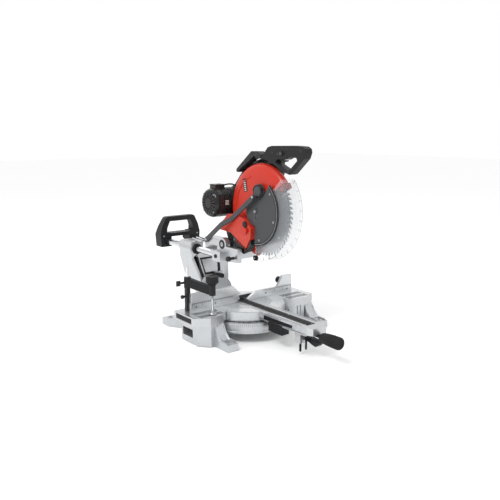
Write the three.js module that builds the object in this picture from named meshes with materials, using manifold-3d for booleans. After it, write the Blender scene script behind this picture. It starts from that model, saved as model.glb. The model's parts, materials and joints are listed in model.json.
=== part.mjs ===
// Sliding compound mitre saw on its own cast base, raised and locked up, millimetres, +Z up.
// Drawn about the blade plane (x = 0) and the raised blade centre (y = 0), z from the floor.
// The last lines centre the whole group on the origin.
import * as THREE from "three";
import { mergeVertices } from "three/addons/utils/BufferGeometryUtils.js";
import Module from "manifold-3d";

const wasm = await Module();
wasm.setup();

// Driving dimensions.
const TABLE_Z = 105;
const GAP = 0.3;
const BLADE = { z: 440, r: 152.5, root: 143, thick: 2.8, teeth: 40 };
const PIVOT = { y: 148, z: 311 };
const MOTOR = { y: 214, z: 452, r: 52, wall: 6, left: -58, right: 32.7 };
const TURN = { y: 98, r: 142, bottom: 72 };
const RING = { r: 160, wall: 12, z0: 35, z1: 70 };
const RAIL = { left: -68, right: 52, z: 272, r: 12, front: 132, back: 575 };
const COLUMN = { front: 305, back: 430, disc: 58 };
const BEVEL_Z = 105;
const FENCE = { y0: 98, y1: 110, top: 134 };
const ARM = { half: 38, front: -284, bottom: 82 };
const PLATE = { x0: 33, x1: 45 };
const LOWER = { inner: 165, outer: 168, half: 27, wall: 3, from: 138, to: 272 };
const CLAMP = { x: -227, y: 118, screwX: -185, screwY: 32 };
const LINK = { y: 236, z: 318, length: 302, rise: 145.3 };

// Finishes.
function finish(color, roughness, metalness, opacity = 1) {
  const transparent = opacity < 1;
  return new THREE.MeshStandardMaterial({ color, roughness, metalness, opacity, transparent });
}
const CAST = finish(0xb9bec1, 0.45, 0.6);
const CHROME = finish(0xdedede, 0.12, 1);
const STEEL = finish(0x9a9c9e, 0.35, 0.9);
const RED = finish(0xc8321f, 0.4, 0.1);
const BLACK = finish(0x1c1c1d, 0.55, 0);
const DARK = finish(0x47484b, 0.5, 0.3);
const CLEAR = finish(0xdfe6e8, 0.1, 0, 0.3);
const COPPER = finish(0x8c5a36, 0.4, 0.8);
const RUBBER = finish(0x131313, 0.85, 0);

// Solids. A prism is a flat outline swept along one axis.
function outline(points) {
  return new THREE.Shape(points.map(([a, b]) => new THREE.Vector2(a, b)));
}

function sweep(points, length) {
  return new THREE.ExtrudeGeometry(outline(points), { depth: length, bevelEnabled: false });
}

function prismX(points, x0, x1) {
  const basis = new THREE.Matrix4().makeBasis(
    new THREE.Vector3(0, 1, 0),
    new THREE.Vector3(0, 0, 1),
    new THREE.Vector3(1, 0, 0),
  );
  return sweep(points, x1 - x0).applyMatrix4(basis).translate(x0, 0, 0);
}

function prismY(points, y0, y1) {
  return sweep(points, y1 - y0).rotateX(Math.PI / 2).translate(0, y1, 0);
}

function prismZ(points, z0, z1) {
  return sweep(points, z1 - z0).translate(0, 0, z0);
}

function box(x0, x1, y0, y1, z0, z1) {
  const size = [x1 - x0, y1 - y0, z1 - z0];
  return new THREE.BoxGeometry(...size).translate((x0 + x1) / 2, (y0 + y1) / 2, (z0 + z1) / 2);
}

function rodX(r, x0, x1, y, z, sides = 24) {
  const rod = new THREE.CylinderGeometry(r, r, x1 - x0, sides).rotateZ(-Math.PI / 2);
  return rod.translate((x0 + x1) / 2, y, z);
}

function rodY(r, y0, y1, x, z, sides = 24) {
  return new THREE.CylinderGeometry(r, r, y1 - y0, sides).translate(x, (y0 + y1) / 2, z);
}

function rodZ(r, z0, z1, x, y, sides = 24) {
  const rod = new THREE.CylinderGeometry(r, r, z1 - z0, sides).rotateX(Math.PI / 2);
  return rod.translate(x, y, (z0 + z1) / 2);
}

// A turned shape about the X axis through (y, z), from [radius, x] pairs.
function turnedX(profile, y, z, sides) {
  const points = profile.map(([r, x]) => new THREE.Vector2(r, x));
  return new THREE.LatheGeometry(points, sides).rotateZ(-Math.PI / 2).translate(0, y, z);
}

function polar(radius, degrees, y = 0, z = BLADE.z) {
  const angle = THREE.MathUtils.degToRad(degrees);
  return [y + radius * Math.cos(angle), z + radius * Math.sin(angle)];
}

function arc(radius, from, to, steps, y = 0, z = BLADE.z) {
  const angles = Array.from({ length: steps + 1 }, (_, i) => from + ((to - from) * i) / steps);
  return angles.map((angle) => polar(radius, angle, y, z));
}

function wedge(radius, from, to, steps) {
  return [[0, BLADE.z], ...arc(radius, from, to, steps)];
}

// Joining and cutting.
function solid(geometry) {
  const bare = geometry.clone();
  bare.deleteAttribute("normal");
  bare.deleteAttribute("uv");
  const welded = mergeVertices(bare, 1e-3);
  const vertProperties = welded.getAttribute("position").array;
  const triVerts = new Uint32Array(welded.index.array);
  return new wasm.Manifold(new wasm.Mesh({ numProp: 3, vertProperties, triVerts }));
}

function surface(manifold) {
  const mesh = manifold.getMesh();
  const geometry = new THREE.BufferGeometry();
  geometry.setAttribute("position", new THREE.BufferAttribute(mesh.vertProperties, 3));
  geometry.setIndex(new THREE.BufferAttribute(mesh.triVerts, 1));
  geometry.computeVertexNormals();
  return geometry;
}

function join(...pieces) {
  return surface(pieces.map(solid).reduce((whole, piece) => whole.add(piece)));
}

function cut(body, ...tools) {
  return surface(tools.map(solid).reduce((whole, tool) => whole.subtract(tool), solid(body)));
}

function common(first, second) {
  return surface(solid(first).intersect(solid(second)));
}

function mirrored(points, side) {
  const turned = points.map(([x, y]) => [side * x, y]);
  return side < 0 ? turned.reverse() : turned;
}

const saw = new THREE.Group();
saw.name = "mitre_saw";

function node(name, geometry, material) {
  const mesh = new THREE.Mesh(geometry, material);
  mesh.name = name;
  saw.add(mesh);
}

// Base casting: ring, two wing tables, front legs and feet, rear legs and feet.
const WING_TOP = [[122, 40], [160, 8], [214, 0], [262, 28], [262, 150], [120, 150]];
const WING_WALL = [[125, 46], [163, 16], [206, 10], [236, 46], [236, 146], [125, 146]];
const WING_HOLLOW = [[133, 54], [165, 25], [203, 19], [229, 50], [229, 139], [133, 139]];
const LEG = [[-66, 0], [-66, 25], [-20, 28], [-2, 44], [8, 60], [22, 80], [40, 80], [40, 0]];
const REAR_LEG = [[96, 150], [140, 150], [170, 232], [205, 290], [205, 336], [160, 336], [120, 262]];
const FRONT_FOOT = { left: [-192, -152], right: [211, 252] };

function wing(side) {
  const handHole = box(-9, 9, 76, 138, 22, 50).translate(side * 234, 0, 0);
  const body = join(
    prismZ(mirrored(WING_TOP, side), 78, TABLE_Z),
    prismZ(mirrored(WING_WALL, side), 2, 79),
  );
  return cut(body, prismZ(mirrored(WING_HOLLOW, side), -1, 96), handHole);
}

function frontLeg([x0, x1]) {
  const hole = rodZ(5, -1, 40, (x0 + x1) / 2, -42, 16);
  return cut(prismX(LEG, x0, x1), hole);
}

function rearLeg(side) {
  const hole = rodZ(5, -1, 40, side * 183, 316, 16);
  const post = box(-16, 16, 160, 190, 20, 60).translate(side * 112, 0, 0);
  return cut(join(prismZ(mirrored(REAR_LEG, side), 0, 26), post), hole);
}

const ringHollow = rodZ(RING.r - RING.wall, RING.z0 - 1, RING.z1 - 8, 0, TURN.y, 48);
const ring = cut(rodZ(RING.r, RING.z0, RING.z1, 0, TURN.y, 64), ringHollow);
node(
  "base_casting",
  cut(
    join(
      ring,
      wing(-1),
      wing(1),
      frontLeg(FRONT_FOOT.left),
      frontLeg(FRONT_FOOT.right),
      rearLeg(-1),
      rearLeg(1),
      rodZ(28, RING.z0, RING.z1 - 4, 0, TURN.y),
    ),
    rodZ(TURN.r + 3, RING.z1 + 0.5, TABLE_Z + 1, 0, TURN.y, 64),
    rodZ(14, RING.z0 - 1, RING.z1 + 1, 0, TURN.y),
  ),
  CAST,
);

// Mitre scale on the ring's front ledge.
const SCALE = { inner: 146, outer: 158.5, from: 212, to: 328, z0: 70.3, z1: 71.6 };
node(
  "miter_scale",
  prismZ(
    [
      ...arc(SCALE.outer, SCALE.from, SCALE.to, 28, 0, TURN.y),
      ...arc(SCALE.inner, SCALE.to, SCALE.from, 28, 0, TURN.y),
    ],
    SCALE.z0,
    SCALE.z1,
  ),
  STEEL,
);

// Fixed fence with its rear bridge and the clamp socket.
const FENCE_Z = TABLE_Z + GAP;
const FENCE_LEFT = [[-228, FENCE_Z], [-45, FENCE_Z], [-23, 116], [-30, FENCE.top], [-228, FENCE.top]];
const FENCE_RIGHT = [[13, FENCE_Z], [221, FENCE_Z], [221, FENCE.top], [56, FENCE.top], [13, 110]];
node(
  "fence_fixed",
  join(
    prismY(FENCE_LEFT, FENCE.y0, FENCE.y1),
    prismY(FENCE_RIGHT, FENCE.y0, FENCE.y1),
    box(-70, -56, 109, 150, FENCE_Z, 118),
    box(56, 70, 109, 150, FENCE_Z, 118),
    box(-60, 60, 136, 150, FENCE_Z, 118),
    box(-200, -150, 109, 132, FENCE_Z, 114),
    box(150, 200, 109, 132, FENCE_Z, 114),
  ),
  CAST,
);

// Sliding upper fences and the right one's lock knob.
const UPPER_Z = FENCE.top + GAP;
const UPPER_LEFT = [[-226, UPPER_Z], [-17, UPPER_Z], [-49, 167], [-226, 167]];
const UPPER_RIGHT = [[152, UPPER_Z], [221, UPPER_Z], [221, 173], [177, 173]];
node("fence_upper_left", prismY(UPPER_LEFT, FENCE.y0, FENCE.y1), CAST);
node("fence_upper_right", prismY(UPPER_RIGHT, FENCE.y0, FENCE.y1), CAST);
node("fence_knob_right", join(
  rodY(4, FENCE.y1 + GAP, 120, 184, 150, 12),
  rodY(13, 118, 136, 184, 150, 18),
), BLACK);

// Turntable, kerf plates and the parts under its arm.
const SLOT = { half: 7, half2: 18, front: -246, back: 170, floor: 88 };
const ARM_PLAN = [[-38, 60], [-38, -262], [-28, -284], [28, -284], [38, -262], [38, 60]];
node(
  "turntable_casting",
  cut(
    join(
      rodZ(TURN.r, TURN.bottom, TABLE_Z, 0, TURN.y, 72),
      prismZ(ARM_PLAN, ARM.bottom, TABLE_Z),
      box(-28, -7, -226, -200, 42, ARM.bottom + 1),
      rodZ(13, 40, TURN.bottom + 1, 0, TURN.y),
    ),
    box(-SLOT.half2 - GAP, SLOT.half2 + GAP, SLOT.front, SLOT.back, 99, TABLE_Z + 1),
    box(-SLOT.half, SLOT.half, SLOT.front + 6, SLOT.back - 6, SLOT.floor, TABLE_Z),
  ),
  CAST,
);
const KERF = { inner: 3, z0: 99.3, z1: 104.8 };
node("kerf_plate_left", box(
  -SLOT.half2, -KERF.inner, SLOT.front + 1, SLOT.back - 1, KERF.z0, KERF.z1,
), BLACK);
node("kerf_plate_right", box(
  KERF.inner, SLOT.half2, SLOT.front + 1, SLOT.back - 1, KERF.z0, KERF.z1,
), BLACK);
node("detent_housing", box(-40, -8, -150, -82, 50, ARM.bottom - GAP), BLACK);
node("arm_bolt_rear", rodZ(4, 10, 42 - GAP, -14, -212, 12), BLACK);
node("arm_bolt_front", rodZ(3.5, 24, ARM.bottom - GAP, -14, -238, 12), BLACK);
const LEVER = [[-205, 50], [-205, 63], [-252, 60], [-276, 57], [-284, 50], [-270, 38], [-240, 46]];
node("detent_lever", prismX(LEVER, -5, 18), BLACK);

// Mitre lock: a steel rod under the arm and its grip.
const LOCK_Z = 76;
node("miter_lock_rod", rodY(5, -262, -66, 0, LOCK_Z, 16), STEEL);
node("miter_lock_grip", join(
  rodY(5.5, -290, -262 - GAP, 0, LOCK_Z, 16),
  rodY(20, -374, -286, 0, LOCK_Z),
), BLACK);

// Bevel trunnion on the turntable's rear.
const TRUNNION = { r: 62, y0: 262, y1: 279 };
node(
  "bevel_trunnion",
  cut(
    join(
      box(-50, 50, 226, 263, 73, TABLE_Z - 1),
      rodY(TRUNNION.r, TRUNNION.y0, TRUNNION.y1, 0, BEVEL_Z, 36),
      box(-12, 20, TRUNNION.y0, TRUNNION.y1, 150, 184),
    ),
    rodZ(TURN.r + GAP, 60, TABLE_Z + 1, 0, TURN.y, 72),
  ),
  CAST,
);

// Column: a leaning tower with a bearing housing for each rail.
const COLUMN_SIDE = [[279.5, 62], [305, 62], [352, 110], [430, 236], [430, 298], [305, 298],
  [305, 236], [279.5, 150]];
const COLUMN_FRONT = [[-44, 60], [44, 60], [52, 120], [76, 240], [76, 298], [-92, 298],
  [-92, 240], [-60, 120]];
const RECESS = [[-46, 172], [26, 172], [34, 236], [-56, 236]];
const MOUTH = [[-40, 252], [24, 252], [24, 300], [-40, 300]];
const BUSH = { r: 19.7, front: 299, back: 433 };
node(
  "column_casting",
  cut(
    join(
      common(prismX(COLUMN_SIDE, -100, 100), prismY(COLUMN_FRONT, 270, 440)),
      rodY(COLUMN.disc, 279.5, 300, 0, BEVEL_Z, 36),
      rodY(27, COLUMN.front, COLUMN.back, RAIL.left, RAIL.z, 24),
      rodY(27, COLUMN.front, COLUMN.back, RAIL.right, RAIL.z, 24),
    ),
    rodY(20, 290, 440, RAIL.left, RAIL.z, 24),
    rodY(20, 290, 440, RAIL.right, RAIL.z, 24),
    prismY(MOUTH, 290, 440),
    prismY(RECESS, 290, 312),
  ),
  CAST,
);
for (const [name, x] of [["bush_left", RAIL.left], ["bush_right", RAIL.right]]) {
  const bore = rodY(RAIL.r + GAP, BUSH.front - 1, BUSH.back + 1, x, RAIL.z, 24);
  node(name, cut(rodY(BUSH.r, BUSH.front, BUSH.back, x, RAIL.z, 24), bore), BLACK);
}
const BEVEL_LOCK = { x: 4, z: 170 };
const BEVEL_LEVER = [[-2, 164], [10, 164], [10, 176], [-34, 188], [-37, 180]];
node("bevel_lock_lever", join(
  rodY(9, 244, TRUNNION.y0 - GAP, BEVEL_LOCK.x, BEVEL_LOCK.z, 16),
  prismY(BEVEL_LEVER, 240, 250),
), BLACK);
node("slide_lock_knob", join(
  rodX(5, 79.5, 92, 380, RAIL.z, 12),
  rodX(15, 91, 108, 380, RAIL.z, 18),
), BLACK);

// Carriage: rails, rear handle, hinge bracket, hinge shaft and torsion spring.
node("rail_left", rodY(RAIL.r, RAIL.front, RAIL.back, RAIL.left, RAIL.z, 24), CHROME);
node("rail_right", rodY(RAIL.r, RAIL.front, RAIL.back, RAIL.right, RAIL.z, 24), CHROME);
const HANDLE = { x: -8, top: 369, barTop: 343, cross: 302, under: 288, foot: 249 };
const HANDLE_HALF = [[88, HANDLE.foot], [92, 300], [84, 330], [68, 364], [60, HANDLE.top]];
const HANDLE_LOOP = [
  ...HANDLE_HALF.map(([x, z]) => [HANDLE.x + x, z]),
  ...HANDLE_HALF.map(([x, z]) => [HANDLE.x - x, z]).reverse(),
  [HANDLE.x - 42, HANDLE.foot],
  [HANDLE.x - 42, HANDLE.under],
  [HANDLE.x + 42, HANDLE.under],
  [HANDLE.x + 42, HANDLE.foot],
];
const HANDLE_EYE = [
  [HANDLE.x - 46, HANDLE.cross],
  [HANDLE.x + 46, HANDLE.cross],
  [HANDLE.x + 56, 322],
  [HANDLE.x + 44, HANDLE.barTop],
  [HANDLE.x - 44, HANDLE.barTop],
  [HANDLE.x - 56, 322],
];
const HANDLE_DEPTH = [[518, 240], [586, 240], [586, 300], [558, 375], [518, 375]];
node(
  "rear_handle",
  cut(
    common(prismY(HANDLE_LOOP, 500, 600), prismX(HANDLE_DEPTH, -120, 120)),
    prismY(HANDLE_EYE, 500, 600),
    rodY(RAIL.r + GAP, 500, RAIL.back + GAP, RAIL.left, RAIL.z, 24),
    rodY(RAIL.r + GAP, 500, RAIL.back + GAP, RAIL.right, RAIL.z, 24),
  ),
  BLACK,
);

const CHEEK = [[56, 258], [130, 254], [177, 254], [177, 300], [150, 306], [56, 306]];
const LUG = [[150, 301], [248, 303], [250, 318], [240, 331], [228, 331], [150, 318]];
const EAR = { r: 24, left: [-64, -46], right: [46.5, 66] };
const SHAFT = { r: 8, x0: -65.6, x1: 70 };
node(
  "hinge_bracket",
  cut(
    join(
      box(-86, 70, 130, 178, 252, 288),
      prismX(CHEEK, ...EAR.left),
      rodX(EAR.r, ...EAR.left, PIVOT.y, PIVOT.z, 24),
      rodX(EAR.r, ...EAR.right, PIVOT.y, PIVOT.z, 24),
      box(...EAR.right, 128, 168, 280, PIVOT.z),
      prismX(LUG, -64, -56),
    ),
    rodX(SHAFT.r + GAP, -80, 80, PIVOT.y, PIVOT.z, 20),
    rodY(RAIL.r + GAP, RAIL.front - GAP, 190, RAIL.left, RAIL.z, 24),
    rodY(RAIL.r + GAP, RAIL.front - GAP, 190, RAIL.right, RAIL.z, 24),
    rodX(5 + GAP, -90, -60.6, 80, 272, 16),
  ),
  CAST,
);
node("hinge_shaft", rodX(SHAFT.r, SHAFT.x0, SHAFT.x1, PIVOT.y, PIVOT.z, 20), STEEL);

class Coil extends THREE.Curve {
  getPoint(t) {
    const angle = t * 2.5 * 2 * Math.PI;
    return new THREE.Vector3(
      -43 + 10.5 * t,
      PIVOT.y + 14 * Math.cos(angle),
      PIVOT.z + 14 * Math.sin(angle),
    );
  }
}
const WIRE = Array.from({ length: 6 }, (_, i) => [
  1.4 * Math.cos((i * Math.PI) / 3),
  1.4 * Math.sin((i * Math.PI) / 3),
]);
node("torsion_spring", new THREE.ExtrudeGeometry(outline(WIRE), {
  steps: 30,
  extrudePath: new Coil(),
}), STEEL);

// Head lock pin through the cheek, and the link bar that lifts the lower guard.
node("head_lock_pin", join(rodX(5, -82, -61, 80, 272, 16), rodX(9, -90, -80, 80, 272, 18)), BLACK);

const LINK_PLAN = [[-72, -10], [-66, -10], [-66, 115], [-44.5, 147], [-44.5, 310],
  [-50.5, 310], [-50.5, 150], [-72, 118]];
const LINK_SIDE = [[-10, -8], [290, -8], [310, -2], [310, 2], [290, 8], [-10, 8]];
const linkBar = common(prismZ(LINK_PLAN, -20, 20), prismX(LINK_SIDE, -90, -30))
  .rotateX(THREE.MathUtils.degToRad(LINK.rise))
  .translate(0, LINK.y, LINK.z);
node("link_bar", join(
  linkBar,
  rodX(6, -66.5, -64 - GAP, LINK.y, LINK.z, 16),
  rodX(7, -54, -50, ...polar(LINK.length, LINK.rise, LINK.y, LINK.z), 18),
), DARK);

// Head arm: the plate on the blade's right, its hinge barrel, bearing housing and handle feet.
const ARM_OUTLINE = [[-58, 620], [-62, 570], [-36, 520], [-40, 420], [0, 402], [92, 332],
  [126, 318], [170, 311], [250, 396], [268, 440], [268, 480], [200, 515], [130, 590],
  [40, 612], [0, 620]];
const BEARING = { r: 30, x0: 22, bore: 13 };
node(
  "head_arm",
  cut(
    join(
      prismX(ARM_OUTLINE, PLATE.x0, PLATE.x1),
      rodX(22, -30, PLATE.x1, PIVOT.y, PIVOT.z, 24),
      rodX(BEARING.r, BEARING.x0, PLATE.x1, 0, BLADE.z, 36),
      prismX([[128, 312], [168, 312], [186, 352], [142, 360]], -19, PLATE.x0 + 1),
    ),
    rodX(SHAFT.r + GAP, -40, 60, PIVOT.y, PIVOT.z, 20),
    rodX(BEARING.bore, 20, 60, 0, BLADE.z),
    rodX(9, 30, 60, MOTOR.y, MOTOR.z),
  ),
  BLACK,
);

// Upper guard: a domed drum round the blade, open below and in front, with a raised heel.
const GUARD_SKIN = [[0, -21], [118, -21], [142, -17.5], [153, -12], [158, -5], [158, 5],
  [153, 12], [142, 17.5], [118, 21], [0, 21]];
const GUARD_HOLLOW = [[0, -17.5], [112, -17.5], [136, -14], [151, -9], [155.4, -4], [155.4, 4],
  [151, 9], [136, 14], [112, 17.5], [0, 17.5]];
const HEEL = [[96, 424], [44, 408], [9, 382], [13, 348], [36, 311], [126, 355], [186, 357],
  [190, 376], [140, 418]];
const OPEN = { from: 140, to: 277 };
node(
  "upper_guard",
  cut(
    join(
      cut(turnedX(GUARD_SKIN, 0, BLADE.z, 44), turnedX(GUARD_HOLLOW, 0, BLADE.z, 44)),
      prismX(HEEL, -43, -19),
    ),
    prismX(wedge(260, OPEN.from, OPEN.to, 4), -60, 60),
    rodX(52, -60, -10, 0, BLADE.z, 36),
    rodX(BEARING.r + GAP, 10, 60, 0, BLADE.z, 36),
    rodX(9.5, -50, -37, 34, 372, 18),
  ),
  RED,
);

// Visor: a translucent nose in front of the drum.
node(
  "guard_visor",
  cut(
    prismX([...arc(158, 140.3, 147, 4), ...arc(126, 147, 140.3, 4)], -13, 13),
    prismX([...arc(155.4, 139, 149, 4), ...arc(118, 149, 139, 4)], -9, 9),
  ),
  RED,
);

const SHROUD = [[120, 349], [108, 318], [84, 300], [54, 287], [26, 300], [12, 326], [14, 341],
  [36, 307.5]];
node("arm_shroud", prismX(SHROUD, -40, -21 - GAP), BLACK);

// Motor housing with its terminal box, end cap and lead.
const CAP = { x0: -76, x1: MOTOR.left - GAP };
const CAP_SKIN = [[0, CAP.x0], [38, CAP.x0], [49, -68], [51, CAP.x1], [0, CAP.x1]];
const CAP_HOLLOW = [[0, -71], [36, -71], [45, -65], [46, CAP.x1 + 1], [0, CAP.x1 + 1]];
node(
  "motor_housing",
  cut(
    join(
      rodX(MOTOR.r, MOTOR.left, MOTOR.right, MOTOR.y, MOTOR.z, 28),
      box(-56, -14, 198, 232, 496, 516),
    ),
    rodX(MOTOR.r - MOTOR.wall, MOTOR.left - 1, MOTOR.right - 6, MOTOR.y, MOTOR.z, 28),
    rodX(9, 0, 60, MOTOR.y, MOTOR.z),
  ),
  BLACK,
);
node("motor_end_cap", cut(
  turnedX(CAP_SKIN, MOTOR.y, MOTOR.z, 28),
  turnedX(CAP_HOLLOW, MOTOR.y, MOTOR.z, 28),
), BLACK);
const LEAD_PATH = new THREE.CatmullRomCurve3([
  new THREE.Vector3(-12, 214, 509),
  new THREE.Vector3(-2, 210, 514),
  new THREE.Vector3(12, 196, 516),
  new THREE.Vector3(22, 184, 512),
  new THREE.Vector3(31, 180, 508),
]);
const LEAD_SECTION = Array.from({ length: 8 }, (_, i) => [
  2.6 * Math.cos((i * Math.PI) / 4),
  2.6 * Math.sin((i * Math.PI) / 4),
]);
node("motor_lead", new THREE.ExtrudeGeometry(outline(LEAD_SECTION), {
  steps: 16,
  extrudePath: LEAD_PATH,
}), RUBBER);

// Rotor: armature, shaft and the small toothed pulley on one axis.
node("motor_rotor", join(
  rodX(32, -50, 12, MOTOR.y, MOTOR.z),
  rodX(7, -66, 66, MOTOR.y, MOTOR.z, 20),
  rodX(20, 50, 64, MOTOR.y, MOTOR.z),
), COPPER);

// Belt and its cover on the right side.
const PULLEY = { driven: 40, driver: 20, x0: 50, x1: 64 };
const reach = Math.hypot(MOTOR.y, MOTOR.z - BLADE.z);
const slope = THREE.MathUtils.radToDeg(Math.atan2(MOTOR.z - BLADE.z, MOTOR.y));

function capsule(rBig, rSmall, steps) {
  const lean = THREE.MathUtils.radToDeg(Math.acos((rBig - rSmall) / reach));
  return [
    ...arc(rBig, slope + lean, slope + 360 - lean, steps),
    ...arc(rSmall, slope - lean, slope + lean, steps, MOTOR.y, MOTOR.z),
  ];
}

const BELT_THICK = 4;
node("drive_belt", cut(
  prismX(capsule(PULLEY.driven + GAP + BELT_THICK, PULLEY.driver + GAP + BELT_THICK, 24), 52, 62),
  prismX(capsule(PULLEY.driven + GAP, PULLEY.driver + GAP, 24), 50, 64),
), RUBBER);
node("belt_cover", cut(
  prismX(capsule(56, 36, 24), PLATE.x1 + GAP, 74),
  prismX(capsule(52, 32, 24), PLATE.x1, 70),
), BLACK);

// Handles. Both stand on the arm plate and clear the lower guard's path.
const GRIP = [[-41, 651], [-60, 655], [-168, 657], [-214, 655], [-230, 648], [-234, 636],
  [-226, 618], [-158, 568], [-147, 566], [-136, 570], [-104, 578], [-70, 597], [-40, 608],
  [-10, 612], [-8, 618]];
const GRIP_EYE = [[-84, 604], [-92, 612], [-128, 612], [-144, 619], [-176, 618], [-180, 610],
  [-146, 582], [-134, 582]];
const HANDLE_FOOT = [[-60, 602], [-30, 609], [-10, 612], [-10, 620], [-56, 620]];
node("handle_d", cut(
  join(prismX(GRIP, -16, 16), prismX(HANDLE_FOOT, 10, PLATE.x0 - GAP)),
  prismX(GRIP_EYE, -30, 30),
  box(-8, 8, -128, -94, 610, 619),
  rodX(6.5, -20, -11, -112, 632, 16),
), BLACK);
const CARRY = [[46, 636], [10, 636], [-4, 626], [-5, 618], [2, 612.5], [20, 612], [30, 622],
  [104, 577], [122, 563], [130, 566], [129, 574]];
const CARRY_FOOT = [[100, 580], [122, 563.5], [129, 566], [128, 575], [104, 592]];
const CARRY_TOE = [[2, 612.5], [20, 612], [18, 622], [0, 622]];
node("handle_carry", join(
  prismX(CARRY, -13, 13),
  prismX(CARRY_FOOT, 8, PLATE.x0 - GAP),
  prismX(CARRY_TOE, 8, PLATE.x0 - GAP),
), BLACK);
const TRIGGER = [[-96, 603], [-100, 611.5], [-126, 611.5], [-124, 604], [-110, 599]];
node("trigger", prismX(TRIGGER, -7, 7), BLACK);
node("lock_off_button", rodX(6, -22, -16 - GAP, -112, 632, 16), DARK);
node("spindle_lock", rodX(9, -51, -43 - GAP, 34, 372, 18), DARK);

// Blade: a toothed disc and everything on its spindle.
function bladeOutline() {
  const pitch = 360 / BLADE.teeth;
  return Array.from({ length: BLADE.teeth }, (_, i) => [
    polar(BLADE.root, i * pitch),
    polar(BLADE.r, i * pitch + pitch * 0.12),
    polar(BLADE.r - 2, i * pitch + pitch * 0.5),
    polar(BLADE.root, i * pitch + pitch * 0.7),
  ]).flat();
}
const FLANGE = { r: 24, thick: 5 };
node("blade", cut(
  prismX(bladeOutline(), -BLADE.thick / 2, BLADE.thick / 2),
  rodX(12.5 + GAP, -5, 5, 0, BLADE.z),
), STEEL);
node("arbor_spindle", join(
  rodX(12.5, -3, 8, 0, BLADE.z),
  rodX(FLANGE.r, BLADE.thick / 2 + GAP, 7, 0, BLADE.z),
  rodX(BEARING.bore - GAP, 6, 51, 0, BLADE.z),
  rodX(PULLEY.driven, PULLEY.x0, PULLEY.x1, 0, BLADE.z, 36),
), STEEL);
const BOLT_FACE = -BLADE.thick / 2 - GAP;
node("arbor_bolt", cut(
  join(
    rodX(FLANGE.r, BOLT_FACE - FLANGE.thick, BOLT_FACE, 0, BLADE.z),
    rodX(8, -13, -6, 0, BLADE.z, 6),
  ),
  rodX(12.5 + GAP, -3 - GAP, 0, 0, BLADE.z),
), STEEL);

// Lower guard: a clear rim with a wall each side, turning about the blade's axis.
function guardWall(x0, x1, inner) {
  return cut(
    join(
      prismX([...arc(LOWER.outer, LOWER.from, LOWER.to, 24),
        ...arc(inner, LOWER.to, LOWER.from, 12)], x0, x1),
      rodX(50, x0, x1, 0, BLADE.z, 24),
    ),
    rodX(34, x0 - 1, x1 + 1, 0, BLADE.z, 24),
  );
}
const rim = prismX(
  [...arc(LOWER.outer, LOWER.from, LOWER.to, 24), ...arc(LOWER.inner, LOWER.to, LOWER.from, 24)],
  -LOWER.half,
  LOWER.half,
);
node("lower_guard", join(
  rim,
  guardWall(-LOWER.half, -LOWER.half + LOWER.wall, 48),
  guardWall(LOWER.half - LOWER.wall, LOWER.half, 48),
), CLEAR);
const COVER = { r: 116, x0: -31, x1: -LOWER.half - GAP, lobe: 24 };
node("cover_plate", join(
  prismX(wedge(COVER.r, 128, LOWER.to, 28), COVER.x0, COVER.x1),
  rodX(50, COVER.x0, COVER.x1, 0, BLADE.z, 36),
  rodX(COVER.lobe, COVER.x0, COVER.x1, -20, 508, 28),
  rodX(COVER.lobe - 6, -42, COVER.x0 + 1, -20, 508, 24),
), DARK);
node("guard_roller", rodX(9, -38, -LOWER.half - GAP, ...polar(157, 268.5), 24), RUBBER);

// Clamp: post, rod, arm, screw, knob and two lock screws.
node("clamp_post", box(-235, -220, 111, 126, TABLE_Z + GAP, 186), DARK);
node("clamp_rod", rodZ(5, 186 + GAP, 257, CLAMP.x, CLAMP.y, 16), CHROME);
const CLAMP_ARM_SIDE = [[0, 190], [80, 174], [97, 172], [97, 205.8], [70, 205.8], [0, 222]];
const reachX = CLAMP.screwX - CLAMP.x;
const reachY = CLAMP.screwY - CLAMP.y;
const clampArm = prismX(CLAMP_ARM_SIDE, -7, 7)
  .rotateZ(Math.atan2(reachY, reachX) - Math.PI / 2)
  .translate(CLAMP.x, CLAMP.y, 0);
node("clamp_arm", cut(
  join(
    clampArm,
    rodZ(12, 187, 223, CLAMP.x, CLAMP.y),
    rodZ(11, 171, 206, CLAMP.screwX, CLAMP.screwY),
  ),
  rodZ(5 + GAP, 150, 240, CLAMP.x, CLAMP.y, 16),
  rodZ(4.5 + GAP, 150, 240, CLAMP.screwX, CLAMP.screwY, 16),
), DARK);
node("clamp_wing_screw", join(
  rodX(4, -256, -239 - GAP, CLAMP.y, 205, 14),
  box(-270, -255, CLAMP.y - 2, CLAMP.y + 2, 196, 214),
), BLACK);
node("clamp_post_knob", join(
  rodX(4, -246, -235 - GAP, CLAMP.y, 157, 14),
  rodX(7, -252, -244, CLAMP.y, 157, 8),
), BLACK);
node("clamp_knob", cut(
  rodZ(21, 206 + GAP, 236, CLAMP.screwX, CLAMP.screwY, 18),
  rodZ(4.5 + GAP, 206, 228, CLAMP.screwX, CLAMP.screwY, 16),
), BLACK);
node("clamp_screw", join(
  rodZ(4.5, 110, 214, CLAMP.screwX, CLAMP.screwY, 16),
  rodZ(14, TABLE_Z + 1, 112, CLAMP.screwX, CLAMP.screwY),
), STEEL);

// Centre the group on the origin, on the floor.
const bounds = new THREE.Box3().setFromObject(saw);
const middle = bounds.getCenter(new THREE.Vector3());
saw.position.set(-middle.x, -middle.y, -bounds.min.z);

export default saw;
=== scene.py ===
"""Sliding compound mitre saw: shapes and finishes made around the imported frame.

Shapes are drawn in millimetres in the saw's own frame: x = 0 is the blade plane, y = 0 the raised
blade's centre, and z is the height over the floor. The last step of each piece moves it into the
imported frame, in metres.
"""

import json
import logging
import math
from dataclasses import dataclass
from enum import Enum
from typing import Iterable, Optional, Sequence

import bmesh
import bpy
from mathutils import Matrix, Vector

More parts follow.
